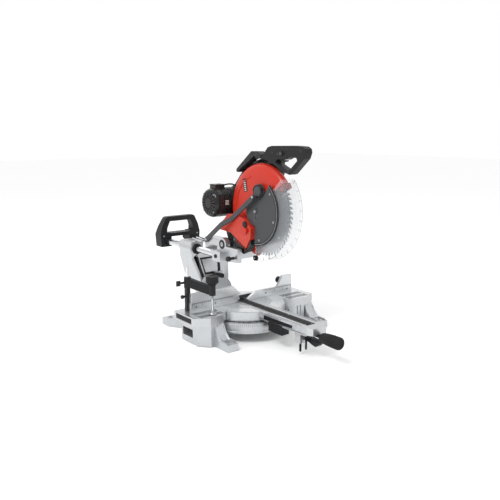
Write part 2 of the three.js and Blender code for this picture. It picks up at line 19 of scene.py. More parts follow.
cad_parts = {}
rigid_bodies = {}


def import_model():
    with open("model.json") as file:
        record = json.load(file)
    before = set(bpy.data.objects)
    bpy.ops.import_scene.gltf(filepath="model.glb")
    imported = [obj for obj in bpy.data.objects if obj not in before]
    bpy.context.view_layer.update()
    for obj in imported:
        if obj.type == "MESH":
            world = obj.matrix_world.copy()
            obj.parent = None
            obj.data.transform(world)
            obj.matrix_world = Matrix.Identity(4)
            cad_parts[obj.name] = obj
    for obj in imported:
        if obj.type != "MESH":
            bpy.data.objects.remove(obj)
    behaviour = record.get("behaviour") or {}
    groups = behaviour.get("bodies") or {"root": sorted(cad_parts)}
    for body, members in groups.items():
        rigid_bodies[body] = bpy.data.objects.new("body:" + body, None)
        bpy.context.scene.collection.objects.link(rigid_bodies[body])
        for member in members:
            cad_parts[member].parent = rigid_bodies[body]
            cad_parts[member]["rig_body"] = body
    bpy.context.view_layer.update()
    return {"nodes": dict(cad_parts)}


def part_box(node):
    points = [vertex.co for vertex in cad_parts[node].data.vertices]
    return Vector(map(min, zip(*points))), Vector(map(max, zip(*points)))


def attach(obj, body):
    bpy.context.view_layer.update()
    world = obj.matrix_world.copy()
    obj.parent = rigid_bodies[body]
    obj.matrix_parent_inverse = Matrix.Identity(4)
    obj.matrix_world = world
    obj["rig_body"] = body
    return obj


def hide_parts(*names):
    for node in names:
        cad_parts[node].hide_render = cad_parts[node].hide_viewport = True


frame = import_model()

LOG = logging.getLogger("mitre_saw")
MM = 0.001
BLADE_HEIGHT = 440.0
ROUND = 64
# Points nearer than this are merged, in a drawn, a CAD and a cut shape (mm).
SEAM = 1e-4
CAD_SEAM = 5e-3
CUT_SEAM = 2e-3
# Faces that turn less than this are merged, in a CAD and a cut shape (degrees).
FLAT_CAD = 1.0
FLAT_CUT = 0.6
DUST_COLOR = (0.62, 0.58, 0.52, 1.0)
COAT_ROUGHNESS = 0.12
FLOOR_COLOR = (0.97, 0.97, 0.97, 1.0)
FLOOR_ROUGHNESS = 0.9
LAMP_TARGET = (0.0, 0.0, 0.25)
UPWARDS = (0.0, 0.0, 1.0)
SIDES = ((-1, "left"), (1, "right"))
Point2 = tuple[float, float]
Point3 = tuple[float, float, float]


class Axis(Enum):
    """The axis that a prism or a turned shape follows."""

    X = 0
    Y = 1
    Z = 2

    def place(self, along: float, first: float, second: float) -> Point3:
        """Orders one distance along the axis and two across it as x, y, z."""
        if self is Axis.X:
            return (along, first, second)
        if self is Axis.Y:
            return (first, along, second)
        return (first, second, along)


def saw_to_frame() -> Matrix:
    """Finds the move from the saw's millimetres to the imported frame's metres.

    Returns:
        The matrix that scales and shifts a shape.
    """
    low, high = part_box("blade")
    origin = (low + high) / 2 - Vector((0.0, 0.0, BLADE_HEIGHT * MM))
    return Matrix.Translation(origin) @ Matrix.Scale(MM, 4)


TO_FRAME = saw_to_frame()


def polar(radius: float, degrees: float, centre: Point2 = (0.0, BLADE_HEIGHT)) -> Point2:
    """Gives the point at an angle and a radius about a centre, the blade's by default."""
    angle = math.radians(degrees)
    return (centre[0] + radius * math.cos(angle), centre[1] + radius * math.sin(angle))


def arc(
    radius: float,
    start: float,
    end: float,
    steps: int,
    centre: Point2 = (0.0, BLADE_HEIGHT),
) -> list[Point2]:
    """Lists points along an arc.

    Args:
        radius: the arc's radius.
        start: its first angle in degrees.
        end: its last angle in degrees.
        steps: how many chords it has.
        centre: its centre.

    Returns:
        The points in order.
    """
    return [polar(radius, start + (end - start) * i / steps, centre) for i in range(steps + 1)]


class Solid:
    """A closed shape in the making, in the saw's millimetres."""

    def __init__(self, mesh: bpy.types.Mesh) -> None:
        """Takes the mesh it starts from."""
        self.obj = bpy.data.objects.new("shape", mesh)
        bpy.context.scene.collection.objects.link(self.obj)

    @classmethod
    def from_faces(cls, points: Sequence[Point3], faces: Sequence[Sequence[int]]) -> "Solid":
        """Makes a shape from points and faces and turns its faces outwards.

        Args:
            points: the corners.
            faces: the corner numbers of each face.

        Returns:
            The shape.
        """
        mesh = bpy.data.meshes.new("shape")
        mesh.from_pydata([tuple(p) for p in points], [], [tuple(f) for f in faces])
        bm = bmesh.new()
        bm.from_mesh(mesh)
        bmesh.ops.remove_doubles(bm, verts=bm.verts, dist=SEAM)
        bmesh.ops.recalc_face_normals(bm, faces=bm.faces)
        bm.to_mesh(mesh)
        bm.free()
        return cls(mesh)

    @classmethod
    def from_node(cls, node: str) -> "Solid":
        """Copies a CAD node, with its loose triangles merged into plain faces."""
        source = frame["nodes"][node].data
        back = TO_FRAME.inverted()
        points = [back @ v.co for v in source.vertices]
        mesh = bpy.data.meshes.new(node)
        mesh.from_pydata(points, [], [tuple(p.vertices) for p in source.polygons])
        bm = bmesh.new()
        bm.from_mesh(mesh)
        bmesh.ops.remove_doubles(bm, verts=bm.verts, dist=CAD_SEAM)
        bmesh.ops.dissolve_limit(
            bm, angle_limit=math.radians(FLAT_CAD), verts=bm.verts, edges=bm.edges
        )
        bm.to_mesh(mesh)
        bm.free()
        return cls(mesh)

    def settle(self) -> "Solid":
        """Turns the result of the modifiers into the shape's own mesh."""
        graph = bpy.context.evaluated_depsgraph_get()
        made = bpy.data.meshes.new_from_object(self.obj.evaluated_get(graph))
        self.obj.modifiers.clear()
        self.obj.data = made
        return self

    def _combine(self, others: Iterable["Solid"], operation: str) -> "Solid":
        """Joins or cuts with each other shape, which is used up."""
        for other in others:
            modifier = self.obj.modifiers.new("combine", "BOOLEAN")
            modifier.operation = operation
            modifier.solver = "EXACT"
            modifier.object = other.obj
            self.settle()
            other.drop()
        return self

    def join(self, *others: "Solid") -> "Solid":
        """Adds the others to this shape."""
        return self._combine(others, "UNION")

    def cut(self, *others: "Solid") -> "Solid":
        """Takes the others away from this shape."""
        return self._combine(others, "DIFFERENCE")

    def keep(self, *others: "Solid") -> "Solid":
        """Keeps only what lies in the others too."""
        return self._combine(others, "INTERSECT")

    def beside(self, *others: "Solid") -> "Solid":
        """Puts other shapes that don't touch this one into the same mesh."""
        bm = bmesh.new()
        for each in (self, *others):
            bm.from_mesh(each.obj.data)
        bm.to_mesh(self.obj.data)
        bm.free()
        for other in others:
            other.drop()
        return self

    def moved(self, matrix: Matrix) -> "Solid":
        """Moves or turns the shape."""
        self.obj.data.transform(matrix)
        return self

    def soften(self, width: float, segments: int = 2, angle: float = 32.0) -> "Solid":
        """Rounds the sharp edges.

        Args:
            width: the rounding's width.
            segments: the steps across it.
            angle: edges that turn less than this stay as they are.

        Returns:
            The shape itself.
        """
        bm = bmesh.new()
        bm.from_mesh(self.obj.data)
        bmesh.ops.remove_doubles(bm, verts=bm.verts, dist=CUT_SEAM)
        bmesh.ops.dissolve_limit(
            bm, angle_limit=math.radians(FLAT_CUT), verts=bm.verts, edges=bm.edges
        )
        bm.to_mesh(self.obj.data)
        bm.free()
        modifier = self.obj.modifiers.new("edges", "BEVEL")
        modifier.width = width
        modifier.segments = segments
        modifier.limit_method = "ANGLE"
        modifier.angle_limit = math.radians(angle)
        modifier.miter_outer = "MITER_ARC"
        return self.settle()

    def drop(self) -> None:
        """Removes the shape."""
        bpy.data.objects.remove(self.obj)


def prism(axis: Axis, outline: Sequence[Point2], low: float, high: float) -> Solid:
    """Sweeps a flat outline along an axis.

    Args:
        axis: the axis.
        outline: the corners across the axis, in x, y, z order.
        low: where it starts.
        high: where it ends.

    Returns:
        The prism.
    """
    count = len(outline)
    points = [axis.place(at, *corner) for at in (low, high) for corner in outline]
    faces = [list(range(count)), list(range(2 * count - 1, count - 1, -1))]
    faces += [[i, (i + 1) % count, count + (i + 1) % count, count + i] for i in range(count)]
    return Solid.from_faces(points, faces)


def block(x: Point2, y: Point2, z: Point2) -> Solid:
    """Makes a block between two values on each axis."""
    return prism(Axis.X, [(y[0], z[0]), (y[1], z[0]), (y[1], z[1]), (y[0], z[1])], *x)


def turned(
    axis: Axis, profile: Sequence[Point2], centre: Point2, sides: int = ROUND
) -> Solid:
    """Turns a profile about an axis.

    Args:
        axis: the axis.
        profile: pairs of radius and distance along the axis, a closed line or one that starts
            and ends on the axis.
        centre: where the axis stands.
        sides: the steps round.

    Returns:
        The turned shape.
    """
    rings = len(profile)
    points: list[Point3] = []
    for radius, along in profile:
        for side in range(sides):
            points.append(axis.place(along, *polar(radius, 360.0 * side / sides, centre)))
    closed = profile[0][0] > 0
    faces = []
    for ring in range(rings if closed else rings - 1):
        after = (ring + 1) % rings
        for side in range(sides):
            beside = (side + 1) % sides
            quad = [
                ring * sides + side,
                ring * sides + beside,
                after * sides + beside,
                after * sides + side,
            ]
            faces.append(quad)
    mesh = bpy.data.meshes.new("turned")
    mesh.from_pydata(points, [], faces)
    bm = bmesh.new()
    bm.from_mesh(mesh)
    bmesh.ops.remove_doubles(bm, verts=bm.verts, dist=SEAM)
    bmesh.ops.recalc_face_normals(bm, faces=bm.faces)
    bm.to_mesh(mesh)
    bm.free()
    return Solid(mesh)


def rod(
    axis: Axis,
    radius: float,
    span: Point2,
    centre: Point2,
    edge: float = 0.8,
    sides: int = ROUND,
) -> Solid:
    """Makes a round bar with rounded ends.

    Args:
        axis: the bar's axis.
        radius: its radius.
        span: where it starts and ends.
        centre: where its axis stands.
        edge: the rounding at its ends.
        sides: the steps round.

    Returns:
        The bar.
    """
    low, high = span
    inner = edge * 0.3
    profile = [
        (0.0, low),
        (radius - edge, low),
        (radius - inner, low + inner),
        (radius, low + edge),
        (radius, high - edge),
        (radius - inner, high - inner),
        (radius - edge, high),
        (0.0, high),
    ]
    return turned(axis, profile, centre, sides)


def bore(axis: Axis, radius: float, span: Point2, centre: Point2, sides: int = 48) -> Solid:
    """Makes a plain round cutter."""
    return turned(axis, [(0, span[0]), (radius, span[0]), (radius, span[1]), (0, span[1])],
                  centre, sides)


def wire(path: Sequence[Point3], radius: float, sides: int = 12) -> Solid:
    """Draws a round wire along a line of points.

    Args:
        path: the points it follows.
        radius: the wire's radius.
        sides: the steps round it.

    Returns:
        The wire.
    """
    line = [Vector(p) for p in path]
    normal = Vector((0.0, 0.0, 1.0))
    points: list[Point3] = []
    for i, at in enumerate(line):
        ahead = (line[min(i + 1, len(line) - 1)] - line[max(i - 1, 0)]).normalized()
        side = ahead.cross(normal)
        if side.length < 0.1:
            side = ahead.cross(Vector((1.0, 0.0, 0.0)))
        side.normalize()
        normal = side.cross(ahead).normalized()
        for k in range(sides):
            angle = 2 * math.pi * k / sides
            points.append(tuple(at + radius * (math.cos(angle) * side + math.sin(angle) * normal)))
    faces = []
    for i in range(len(line) - 1):
        for k in range(sides):
            after = (k + 1) % sides
            faces.append([i * sides + k, i * sides + after,
                          (i + 1) * sides + after, (i + 1) * sides + k])
    faces.append(list(range(sides)))
    faces.append([(len(line) - 1) * sides + k for k in range(sides)])
    return Solid.from_faces(points, faces)


def smooth_line(knots: Sequence[Point3], steps: int = 6) -> list[Point3]:
    """Rounds a line of knots into a curve through them.

    Args:
        knots: the points that the curve goes through.
        steps: the points added for each stretch.

    Returns:
        The curve's points.
    """
    line = [Vector(k) for k in knots]
    points: list[Point3] = []
    for i in range(len(line) - 1):
        before = line[max(i - 1, 0)]
        after = line[min(i + 2, len(line) - 1)]
        a, b = line[i], line[i + 1]
        for step in range(steps):
            t = step / steps
            point = 0.5 * (
                2 * a
                + (b - before) * t
                + (2 * before - 5 * a + 4 * b - after) * t * t
                + (3 * a - before - 3 * b + after) * t**3
            )
            points.append(tuple(point))
    points.append(tuple(line[-1]))
    return points


class NodeTree:
    """A small help for building node trees in a few lines."""

    def __init__(self, tree: bpy.types.NodeTree) -> None:
        """Takes the tree to build in."""
        self.tree = tree

    def add(self, kind: str, inputs: Optional[dict] = None, **settings: object) -> bpy.types.Node:
        """Adds a node.

        Args:
            kind: the node's type name.
            inputs: values or output sockets for its inputs, by name or number.
            settings: its own settings.

        Returns:
            The node.
        """
        made = self.tree.nodes.new(kind)
        for name, value in settings.items():
            setattr(made, name, value)
        for key, value in (inputs or {}).items():
            socket = made.inputs[key]
            if isinstance(value, bpy.types.NodeSocket):
                self.tree.links.new(value, socket)
            else:
                socket.default_value = value
        return made

    def socket(self, name: str, kind: str, into: bool = True, value: object = None) -> str:
        """Adds a socket to the tree's interface and returns its identifier."""
        made = self.tree.interface.new_socket(
            name=name, in_out="INPUT" if into else "OUTPUT", socket_type=kind
        )
        if value is not None:
            made.default_value = value
        return made.identifier


class Repeats:
    """Geometry Nodes trees that set copies of one small shape where a rule puts them."""

    def __init__(self) -> None:
        """Builds both trees."""
        self.turn_ids: dict[str, str] = {}
        self.point_ids: dict[str, str] = {}
        self.turning = self._turning_tree()
        self.pointing = self._pointing_tree()

    def _turning_tree(self) -> bpy.types.NodeTree:
        """Builds the tree that turns and shifts each copy a step further than the last."""
        tree = bpy.data.node_groups.new("copies_by_step", "GeometryNodeTree")
        kit = NodeTree(tree)
        kit.socket("Geometry", "NodeSocketGeometry")
        for name, kind in (
            ("Shape", "NodeSocketObject"),
            ("Count", "NodeSocketInt"),
            ("Shift", "NodeSocketVector"),
            ("Centre", "NodeSocketVector"),
            ("Axis", "NodeSocketVector"),
            ("Turn", "NodeSocketFloat"),
            ("Finish", "NodeSocketMaterial"),
        ):
            self.turn_ids[name] = kit.socket(name, kind)
        kit.socket("Geometry", "NodeSocketGeometry", into=False)
        start = kit.add("NodeGroupInput").outputs
        index = kit.add("GeometryNodeInputIndex").outputs[0]
        angle = kit.add("ShaderNodeMath", {0: index, 1: start["Turn"]}, operation="MULTIPLY")
        swung = kit.add(
            "ShaderNodeVectorRotate",
            {
                "Vector": (0.0, 0.0, 0.0),
                "Center": start["Centre"],
                "Axis": start["Axis"],
                "Angle": angle.outputs[0],
            },
            rotation_type="AXIS_ANGLE",
        )
        shift = kit.add(
            "ShaderNodeVectorMath", {0: start["Shift"], "Scale": index}, operation="SCALE"
        )
        place = kit.add(
            "ShaderNodeVectorMath", {0: swung.outputs[0], 1: shift.outputs[0]}, operation="ADD"
        )
        spots = kit.add(
            "GeometryNodePoints", {"Count": start["Count"], "Position": place.outputs[0]}
        )
        facing = kit.add(
            "FunctionNodeAxisAngleToRotation",
            {"Axis": start["Axis"], "Angle": angle.outputs[0]},
        )
        self._set_copies(kit, spots.outputs[0], start, facing.outputs[0])
        return tree

    def _pointing_tree(self) -> bpy.types.NodeTree:
        """Builds the tree that sets a copy on each point, facing one way."""
        tree = bpy.data.node_groups.new("copies_on_points", "GeometryNodeTree")
        kit = NodeTree(tree)
        kit.socket("Geometry", "NodeSocketGeometry")
        for name, kind in (
            ("Shape", "NodeSocketObject"),
            ("Facing", "NodeSocketVector"),
            ("Finish", "NodeSocketMaterial"),
        ):
            self.point_ids[name] = kit.socket(name, kind)
        kit.socket("Geometry", "NodeSocketGeometry", into=False)
        start = kit.add("NodeGroupInput").outputs
        spots = kit.add("GeometryNodeMeshToPoints", {"Mesh": start["Geometry"]})
        facing = kit.add("FunctionNodeAlignRotationToVector", {"Vector": start["Facing"]}, axis="Z")
        self._set_copies(kit, spots.outputs[0], start, facing.outputs[0])
        return tree

    @staticmethod
    def _set_copies(
        kit: NodeTree,
        spots: bpy.types.NodeSocket,
        start: bpy.types.bpy_prop_collection,
        facing: bpy.types.NodeSocket,
    ) -> None:
        """Ends a tree: the copies, made real, with their material."""
        shape = kit.add("GeometryNodeObjectInfo", {"Object": start["Shape"]})
        copies = kit.add(
            "GeometryNodeInstanceOnPoints",
            {"Points": spots, "Instance": shape.outputs["Geometry"], "Rotation": facing},
        )
        real = kit.add("GeometryNodeRealizeInstances", {0: copies.outputs[0]})
        dressed = kit.add(
            "GeometryNodeSetMaterial", {"Geometry": real.outputs[0], "Material": start["Finish"]}
        )
        kit.add("NodeGroupOutput", {0: dressed.outputs[0]})

    @staticmethod
    def _run(tree: bpy.types.NodeTree, host: Solid, values: dict[str, object]) -> Solid:
        """Runs a tree on a host shape and keeps what comes out."""
        modifier = host.obj.modifiers.new("copies", "NODES")
        modifier.node_group = tree
        for identifier, value in values.items():
            modifier[identifier] = value
        return host.settle()

    def by_step(
        self,
        shape: Solid,
        count: int,
        material: bpy.types.Material,
        shift: Point3 = (0.0, 0.0, 0.0),
        centre: Point3 = (0.0, 0.0, 0.0),
        axis: Point3 = (1.0, 0.0, 0.0),
        turn: float = 0.0,
    ) -> Solid:
        """Sets copies of a shape, each one step on from the last.

        Args:
            shape: the first copy, in its place; it is used up.
            count: how many there are.
            material: what they are made of.
            shift: how far each is moved on.
            centre: the point that they turn about.
            axis: the axis that they turn about.
            turn: the degrees that each is turned on.

        Returns:
            All copies as one shape.
        """
        host = Solid(bpy.data.meshes.new("copies"))
        values = {
            self.turn_ids["Shape"]: shape.obj,
            self.turn_ids["Count"]: count,
            self.turn_ids["Shift"]: shift,
            self.turn_ids["Centre"]: centre,
            self.turn_ids["Axis"]: axis,
            self.turn_ids["Turn"]: math.radians(turn),
            self.turn_ids["Finish"]: material,
        }
        made = self._run(self.turning, host, values)
        shape.drop()
        return made

    def on_points(
        self,
        shape: Solid,
        points: Sequence[Point3],
        facing: Point3,
        material: bpy.types.Material,
    ) -> Solid:
        """Sets a copy of a shape on each point.

        Args:
            shape: the shape about the origin, facing up; it is used up.
            points: where the copies stand.
            facing: the way that they face.
            material: what they are made of.

        Returns:
            All copies as one shape.
        """
        mesh = bpy.data.meshes.new("spots")
        mesh.from_pydata([tuple(p) for p in points], [], [])
        values = {
            self.point_ids["Shape"]: shape.obj,
            self.point_ids["Facing"]: facing,
            self.point_ids["Finish"]: material,
        }
        made = self._run(self.pointing, Solid(mesh), values)
        shape.drop()
        return made


class Grain(Enum):
    """How a surface's fine structure runs."""

    EVEN = (1.0, 1.0, 1.0)
    ALONG_X = (0.04, 1.0, 1.0)
    ALONG_Y = (1.0, 0.04, 1.0)
    ROUND_BLADE = (0.0, 0.0, 0.0)


class SharedEffects:
    """The shader groups that several finishes use."""

    def __init__(self) -> None:
        """Builds the groups."""
        self.grain = self._grain_group()
        self.wear = self._wear_group()
        self.dust = self._dust_group()

    @staticmethod
    def _group(
        name: str, inputs: dict[str, tuple[str, object]], outputs: dict[str, str]
    ) -> NodeTree:
        """Starts a shader group with its sockets."""
        kit = NodeTree(bpy.data.node_groups.new(name, "ShaderNodeTree"))
        for label, (kind, value) in inputs.items():
            kit.socket(label, kind, value=value)
        for label, kind in outputs.items():
            kit.socket(label, kind, into=False)
        return kit

    def _grain_group(self) -> bpy.types.NodeTree:
        """Builds the group for mottled colour, uneven gloss and fine grain."""
        kit = self._group(
            "surface_grain",
            {
                "Vector": ("NodeSocketVector", None),
                "Color": ("NodeSocketColor", (0.5, 0.5, 0.5, 1.0)),
                "Scale": ("NodeSocketFloat", 900.0),
                "Mottle": ("NodeSocketFloat", 0.1),
                "Roughness": ("NodeSocketFloat", 0.5),
                "Spread": ("NodeSocketFloat", 0.1),
            },
            {
                "Color": "NodeSocketColor",
                "Roughness": "NodeSocketFloat",
                "Height": "NodeSocketFloat",
            },
        )
        start = kit.add("NodeGroupInput").outputs
        fine = kit.add(
            "ShaderNodeTexNoise",
            {"Vector": start["Vector"], "Scale": start["Scale"], "Detail": 4.0, "Roughness": 0.6},
        )
        broad_scale = kit.add("ShaderNodeMath", {0: start["Scale"], 1: 0.035}, operation="MULTIPLY")
        broad = kit.add(
            "ShaderNodeTexNoise",
            {"Vector": start["Vector"], "Scale": broad_scale.outputs[0], "Detail": 3.0},
        )
        both = kit.add(
            "ShaderNodeMath", {0: fine.outputs[0], 1: broad.outputs[0]}, operation="ADD"
        )
        centred = kit.add("ShaderNodeMath", {0: both.outputs[0], 1: -1.0}, operation="ADD")
        shade = kit.add(
            "ShaderNodeMath",
            {0: centred.outputs[0], 1: start["Mottle"], 2: 1.0},
            operation="MULTIPLY_ADD",
        )
        tinted = kit.add(
            "ShaderNodeVectorMath",
            {0: start["Color"], "Scale": shade.outputs[0]},
            operation="SCALE",
        )
        rough = kit.add(
            "ShaderNodeMath",
            {0: centred.outputs[0], 1: start["Spread"], 2: start["Roughness"]},
            operation="MULTIPLY_ADD",
            use_clamp=True,
        )
        kit.add(
            "NodeGroupOutput",
            {0: tinted.outputs[0], 1: rough.outputs[0], 2: fine.outputs[0]},
        )
        return kit.tree

    def _wear_group(self) -> bpy.types.NodeTree:
        """Builds the group that finds the corners which rub first."""
        kit = self._group(
            "edge_wear",
            {
                "Vector": ("NodeSocketVector", None),
                "Amount": ("NodeSocketFloat", 0.3),
                "Scale": ("NodeSocketFloat", 120.0),
            },
            {"Mask": "NodeSocketFloat"},
        )
        start = kit.add("NodeGroupInput").outputs
        shape = kit.add("ShaderNodeNewGeometry").outputs["Pointiness"]
        corner = kit.add(
            "ShaderNodeMapRange",
            {"Value": shape, "From Min": 0.53, "From Max": 0.62, "To Min": 0.0, "To Max": 1.0},
            clamp=True,
        )
        patches = kit.add(
            "ShaderNodeTexNoise",
            {"Vector": start["Vector"], "Scale": start["Scale"], "Detail": 5.0, "Roughness": 0.7},
        )
        broken = kit.add(
            "ShaderNodeMapRange",
            {"Value": patches.outputs[0], "From Min": 0.35, "From Max": 0.65},
            clamp=True,
        )
        rubbed = kit.add(
            "ShaderNodeMath", {0: corner.outputs[0], 1: broken.outputs[0]}, operation="MULTIPLY"
        )
        mask = kit.add(
            "ShaderNodeMath", {0: rubbed.outputs[0], 1: start["Amount"]}, operation="MULTIPLY"
        )
        kit.add("NodeGroupOutput", {0: mask.outputs[0]})
        return kit.tree

    def _dust_group(self) -> bpy.types.NodeTree:
        """Builds the group for the thin film that settles on what faces up."""
        kit = self._group(
            "settled_dust",
            {"Vector": ("NodeSocketVector", None), "Amount": ("NodeSocketFloat", 0.1)},
            {"Mask": "NodeSocketFloat"},
        )
        start = kit.add("NodeGroupInput").outputs
        facing = kit.add("ShaderNodeNewGeometry").outputs["Normal"]
        height = kit.add("ShaderNodeSeparateXYZ", {0: facing}).outputs["Z"]
        flat = kit.add(
            "ShaderNodeMapRange", {"Value": height, "From Min": 0.3, "From Max": 1.0}, clamp=True
        )
        patches = kit.add(
            "ShaderNodeTexNoise",
            {"Vector": start["Vector"], "Scale": 38.0, "Detail": 6.0, "Roughness": 0.7},
        )
        film = kit.add(
            "ShaderNodeMath", {0: flat.outputs[0], 1: patches.outputs[0]}, operation="MULTIPLY"
        )
        mask = kit.add(
            "ShaderNodeMath", {0: film.outputs[0], 1: start["Amount"]}, operation="MULTIPLY"
        )
        kit.add("NodeGroupOutput", {0: mask.outputs[0]})
        return kit.tree


@dataclass(frozen=True)
class Finish:
    """A surface: its colour, gloss, grain and the way that it wears."""

    name: str
    slot: str
    color: tuple[float, float, float]
    roughness: float
    metallic: float = 0.0
    worn: tuple[float, float, float] = (0.75, 0.76, 0.78)
    grain: Grain = Grain.EVEN
    grain_scale: float = 1600.0
    grain_height: float = 0.12
    grain_depth: float = 0.0002
    mottle: float = 0.12
    spread: float = 0.18
    wear: float = 0.25
    dust: float = 0.06
    coat: float = 0.0
    specular: float = 0.5
    alpha: float = 1.0

    def _vector(self, kit: NodeTree) -> bpy.types.NodeSocket:
        """Gives the coordinates that the grain is laid out in."""
        place = kit.add("ShaderNodeTexCoord").outputs["Object"]
        if self.grain is not Grain.ROUND_BLADE:
            return kit.add(
                "ShaderNodeMapping", {"Vector": place, "Scale": self.grain.value}
            ).outputs[0]
        low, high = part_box("blade")
        centre = (low + high) / 2
        spread = kit.add(
            "ShaderNodeVectorMath",
            {0: place, 1: (centre.x, centre.y, centre.z)},
            operation="SUBTRACT",
        )
        radius = kit.add("ShaderNodeVectorMath", {0: spread.outputs[0]}, operation="LENGTH")
        return kit.add("ShaderNodeCombineXYZ", {"X": radius.outputs["Value"]}).outputs[0]

    def material(self, effects: SharedEffects) -> bpy.types.Material:
        """Builds the material, once for each finish.

        Args:
            effects: the shared shader groups.

        Returns:
            The material.
        """
        known = bpy.data.materials.get(self.name)
        if known:
            return known
        made = bpy.data.materials.new(self.name)
        made.use_nodes = True
        made.node_tree.nodes.clear()
        kit = NodeTree(made.node_tree)
        vector = self._vector(kit)
        place = kit.add("ShaderNodeTexCoord").outputs["Object"]
        grain = kit.add("ShaderNodeGroup", node_tree=effects.grain)
        kit.tree.links.new(vector, grain.inputs["Vector"])
        grain.inputs["Color"].default_value = (*self.color, 1.0)
        grain.inputs["Scale"].default_value = self.grain_scale
        grain.inputs["Mottle"].default_value = self.mottle
        grain.inputs["Roughness"].default_value = self.roughness
        grain.inputs["Spread"].default_value = self.spread
        wear = kit.add("ShaderNodeGroup", node_tree=effects.wear)
        kit.tree.links.new(place, wear.inputs["Vector"])
        wear.inputs["Amount"].default_value = self.wear
        dust = kit.add("ShaderNodeGroup", node_tree=effects.dust)
        kit.tree.links.new(place, dust.inputs["Vector"])
        dust.inputs["Amount"].default_value = self.dust
        rubbed = kit.add(
            "ShaderNodeMix",
            {"Factor": wear.outputs["Mask"], 6: grain.outputs["Color"], 7: (*self.worn, 1.0)},
            data_type="RGBA",
        )
        dusty = kit.add(
            "ShaderNodeMix",
            {"Factor": dust.outputs["Mask"], 6: rubbed.outputs[2], 7: DUST_COLOR},
            data_type="RGBA",
        )
        bump = kit.add(
            "ShaderNodeBump",
            {
                "Height": grain.outputs["Height"],
                "Strength": self.grain_height,
                "Distance": self.grain_depth,
            },
        )
        shader = kit.add(
            "ShaderNodeBsdfPrincipled",
            {
                "Base Color": dusty.outputs[2],
                "Roughness": grain.outputs["Roughness"],
                "Metallic": self.metallic,
                "Normal": bump.outputs[0],
                "Coat Weight": self.coat,
                "Coat Roughness": COAT_ROUGHNESS,
                "Specular IOR Level": self.specular,
                "Alpha": self.alpha,
            },
        )
        kit.add("ShaderNodeOutputMaterial", {"Surface": shader.outputs[0]})
        return made


CAST = Finish("cast_silver", "cast_aluminium", (0.5, 0.515, 0.53), 0.3, 0.85,
              worn=(0.66, 0.67, 0.68), grain_scale=1500.0, grain_height=0.3, mottle=0.07,
              wear=0.15, dust=0.02)
# Machined faces with real grain along x. Painted light: the tops are lighter than the castings, and
# the fence's upright faces darker than the tops.
MACHINED_LIT_TOP = Finish("machined_table", "cast_aluminium", (0.72, 0.735, 0.75), 0.27, 0.9,
                  worn=(0.8, 0.81, 0.82), grain=Grain.ALONG_X, grain_scale=1400.0,
                  grain_height=0.15, mottle=0.1, wear=0.12, dust=0.015)
MACHINED_SHADED_SIDE = Finish("machined_fence", "cast_aluminium", (0.62, 0.635, 0.65), 0.3, 0.85,
                          worn=(0.74, 0.75, 0.76), grain=Grain.ALONG_X, grain_scale=1200.0,
                          grain_height=0.18, mottle=0.08, wear=0.12, dust=0.015)
CHROMED = Finish("chromed_tube", "chrome", (0.62, 0.63, 0.65), 0.07, 1.0,
                 worn=(0.8, 0.8, 0.8), grain=Grain.ALONG_Y, grain_scale=700.0,
                 grain_height=0.02, mottle=0.04, spread=0.05, wear=0.1, dust=0.02)
GROUND = Finish("ground_steel", "steel", (0.42, 0.43, 0.45), 0.3, 1.0,
                worn=(0.75, 0.75, 0.76), grain_scale=1800.0, grain_height=0.12, mottle=0.14)
SPRING_STEEL = Finish("spring_steel", "steel", (0.03, 0.03, 0.033), 0.3, 0.9,
                      worn=(0.4, 0.4, 0.4), grain_scale=1500.0, grain_height=0.1)
BLADE_STEEL = Finish("blade_steel", "steel", (0.46, 0.47, 0.485), 0.3, 0.9,
                     worn=(0.6, 0.6, 0.6), grain=Grain.ROUND_BLADE, grain_scale=2600.0,
                     grain_height=0.08, mottle=0.1, spread=0.12, wear=0.1, dust=0.0)
CARBIDE = Finish("carbide_tip", "steel", (0.07, 0.07, 0.075), 0.32, 0.9, wear=0.4, dust=0.0)
RED = Finish("red_lacquer", "red_paint", (0.43, 0.02, 0.008), 0.34, 0.0,
             worn=(0.6, 0.12, 0.07), grain_scale=1100.0, grain_height=0.1, mottle=0.1,
             wear=0.3, dust=0.015, coat=0.08, specular=0.3)
DEEP_RED = Finish("deep_red_paint", "red_paint", (0.2, 0.008, 0.004), 0.4, 0.0,
                  worn=(0.4, 0.06, 0.04), grain_height=0.1, dust=0.01, specular=0.25)
RED_CLEAR = Finish("red_clear_nose", "red_paint", (0.7, 0.16, 0.11), 0.14, 0.0,
                   worn=(0.85, 0.35, 0.3), grain_height=0.03, wear=0.0, dust=0.0,
                   specular=0.3, alpha=0.45)
BLACK = Finish("black_moulding", "black_plastic", (0.01, 0.01, 0.011), 0.42, 0.0,
               worn=(0.09, 0.09, 0.095), grain_scale=2100.0, grain_height=0.4, mottle=0.3,
               wear=0.3, dust=0.012, specular=0.22)
GLOSS_BLACK = Finish("gloss_black_paint", "black_plastic", (0.006, 0.006, 0.007), 0.2, 0.0,
                     worn=(0.12, 0.12, 0.12), grain_scale=900.0, grain_height=0.08, mottle=0.2,
                     wear=0.25, dust=0.01, coat=0.1, specular=0.3)
SOFT_GRIP = Finish("soft_grip", "black_plastic", (0.016, 0.016, 0.017), 0.68, 0.0,
                   worn=(0.06, 0.06, 0.06), grain_scale=2600.0, grain_height=0.7, mottle=0.25,
                   wear=0.15, dust=0.012, specular=0.15)
DARK = Finish("dark_grey_paint", "dark_grey", (0.05, 0.052, 0.056), 0.42, 0.15,
              worn=(0.25, 0.25, 0.26), grain_scale=1500.0, grain_height=0.22, mottle=0.2,
              wear=0.3, dust=0.015, specular=0.25)
CLEAR = Finish("clear_guard_shell", "clear_plastic", (0.62, 0.65, 0.68), 0.08, 0.0,
               worn=(0.7, 0.7, 0.7), grain_scale=300.0, grain_height=0.0, mottle=0.0,
               spread=0.0, wear=0.0, dust=0.0, specular=0.4, alpha=0.13)
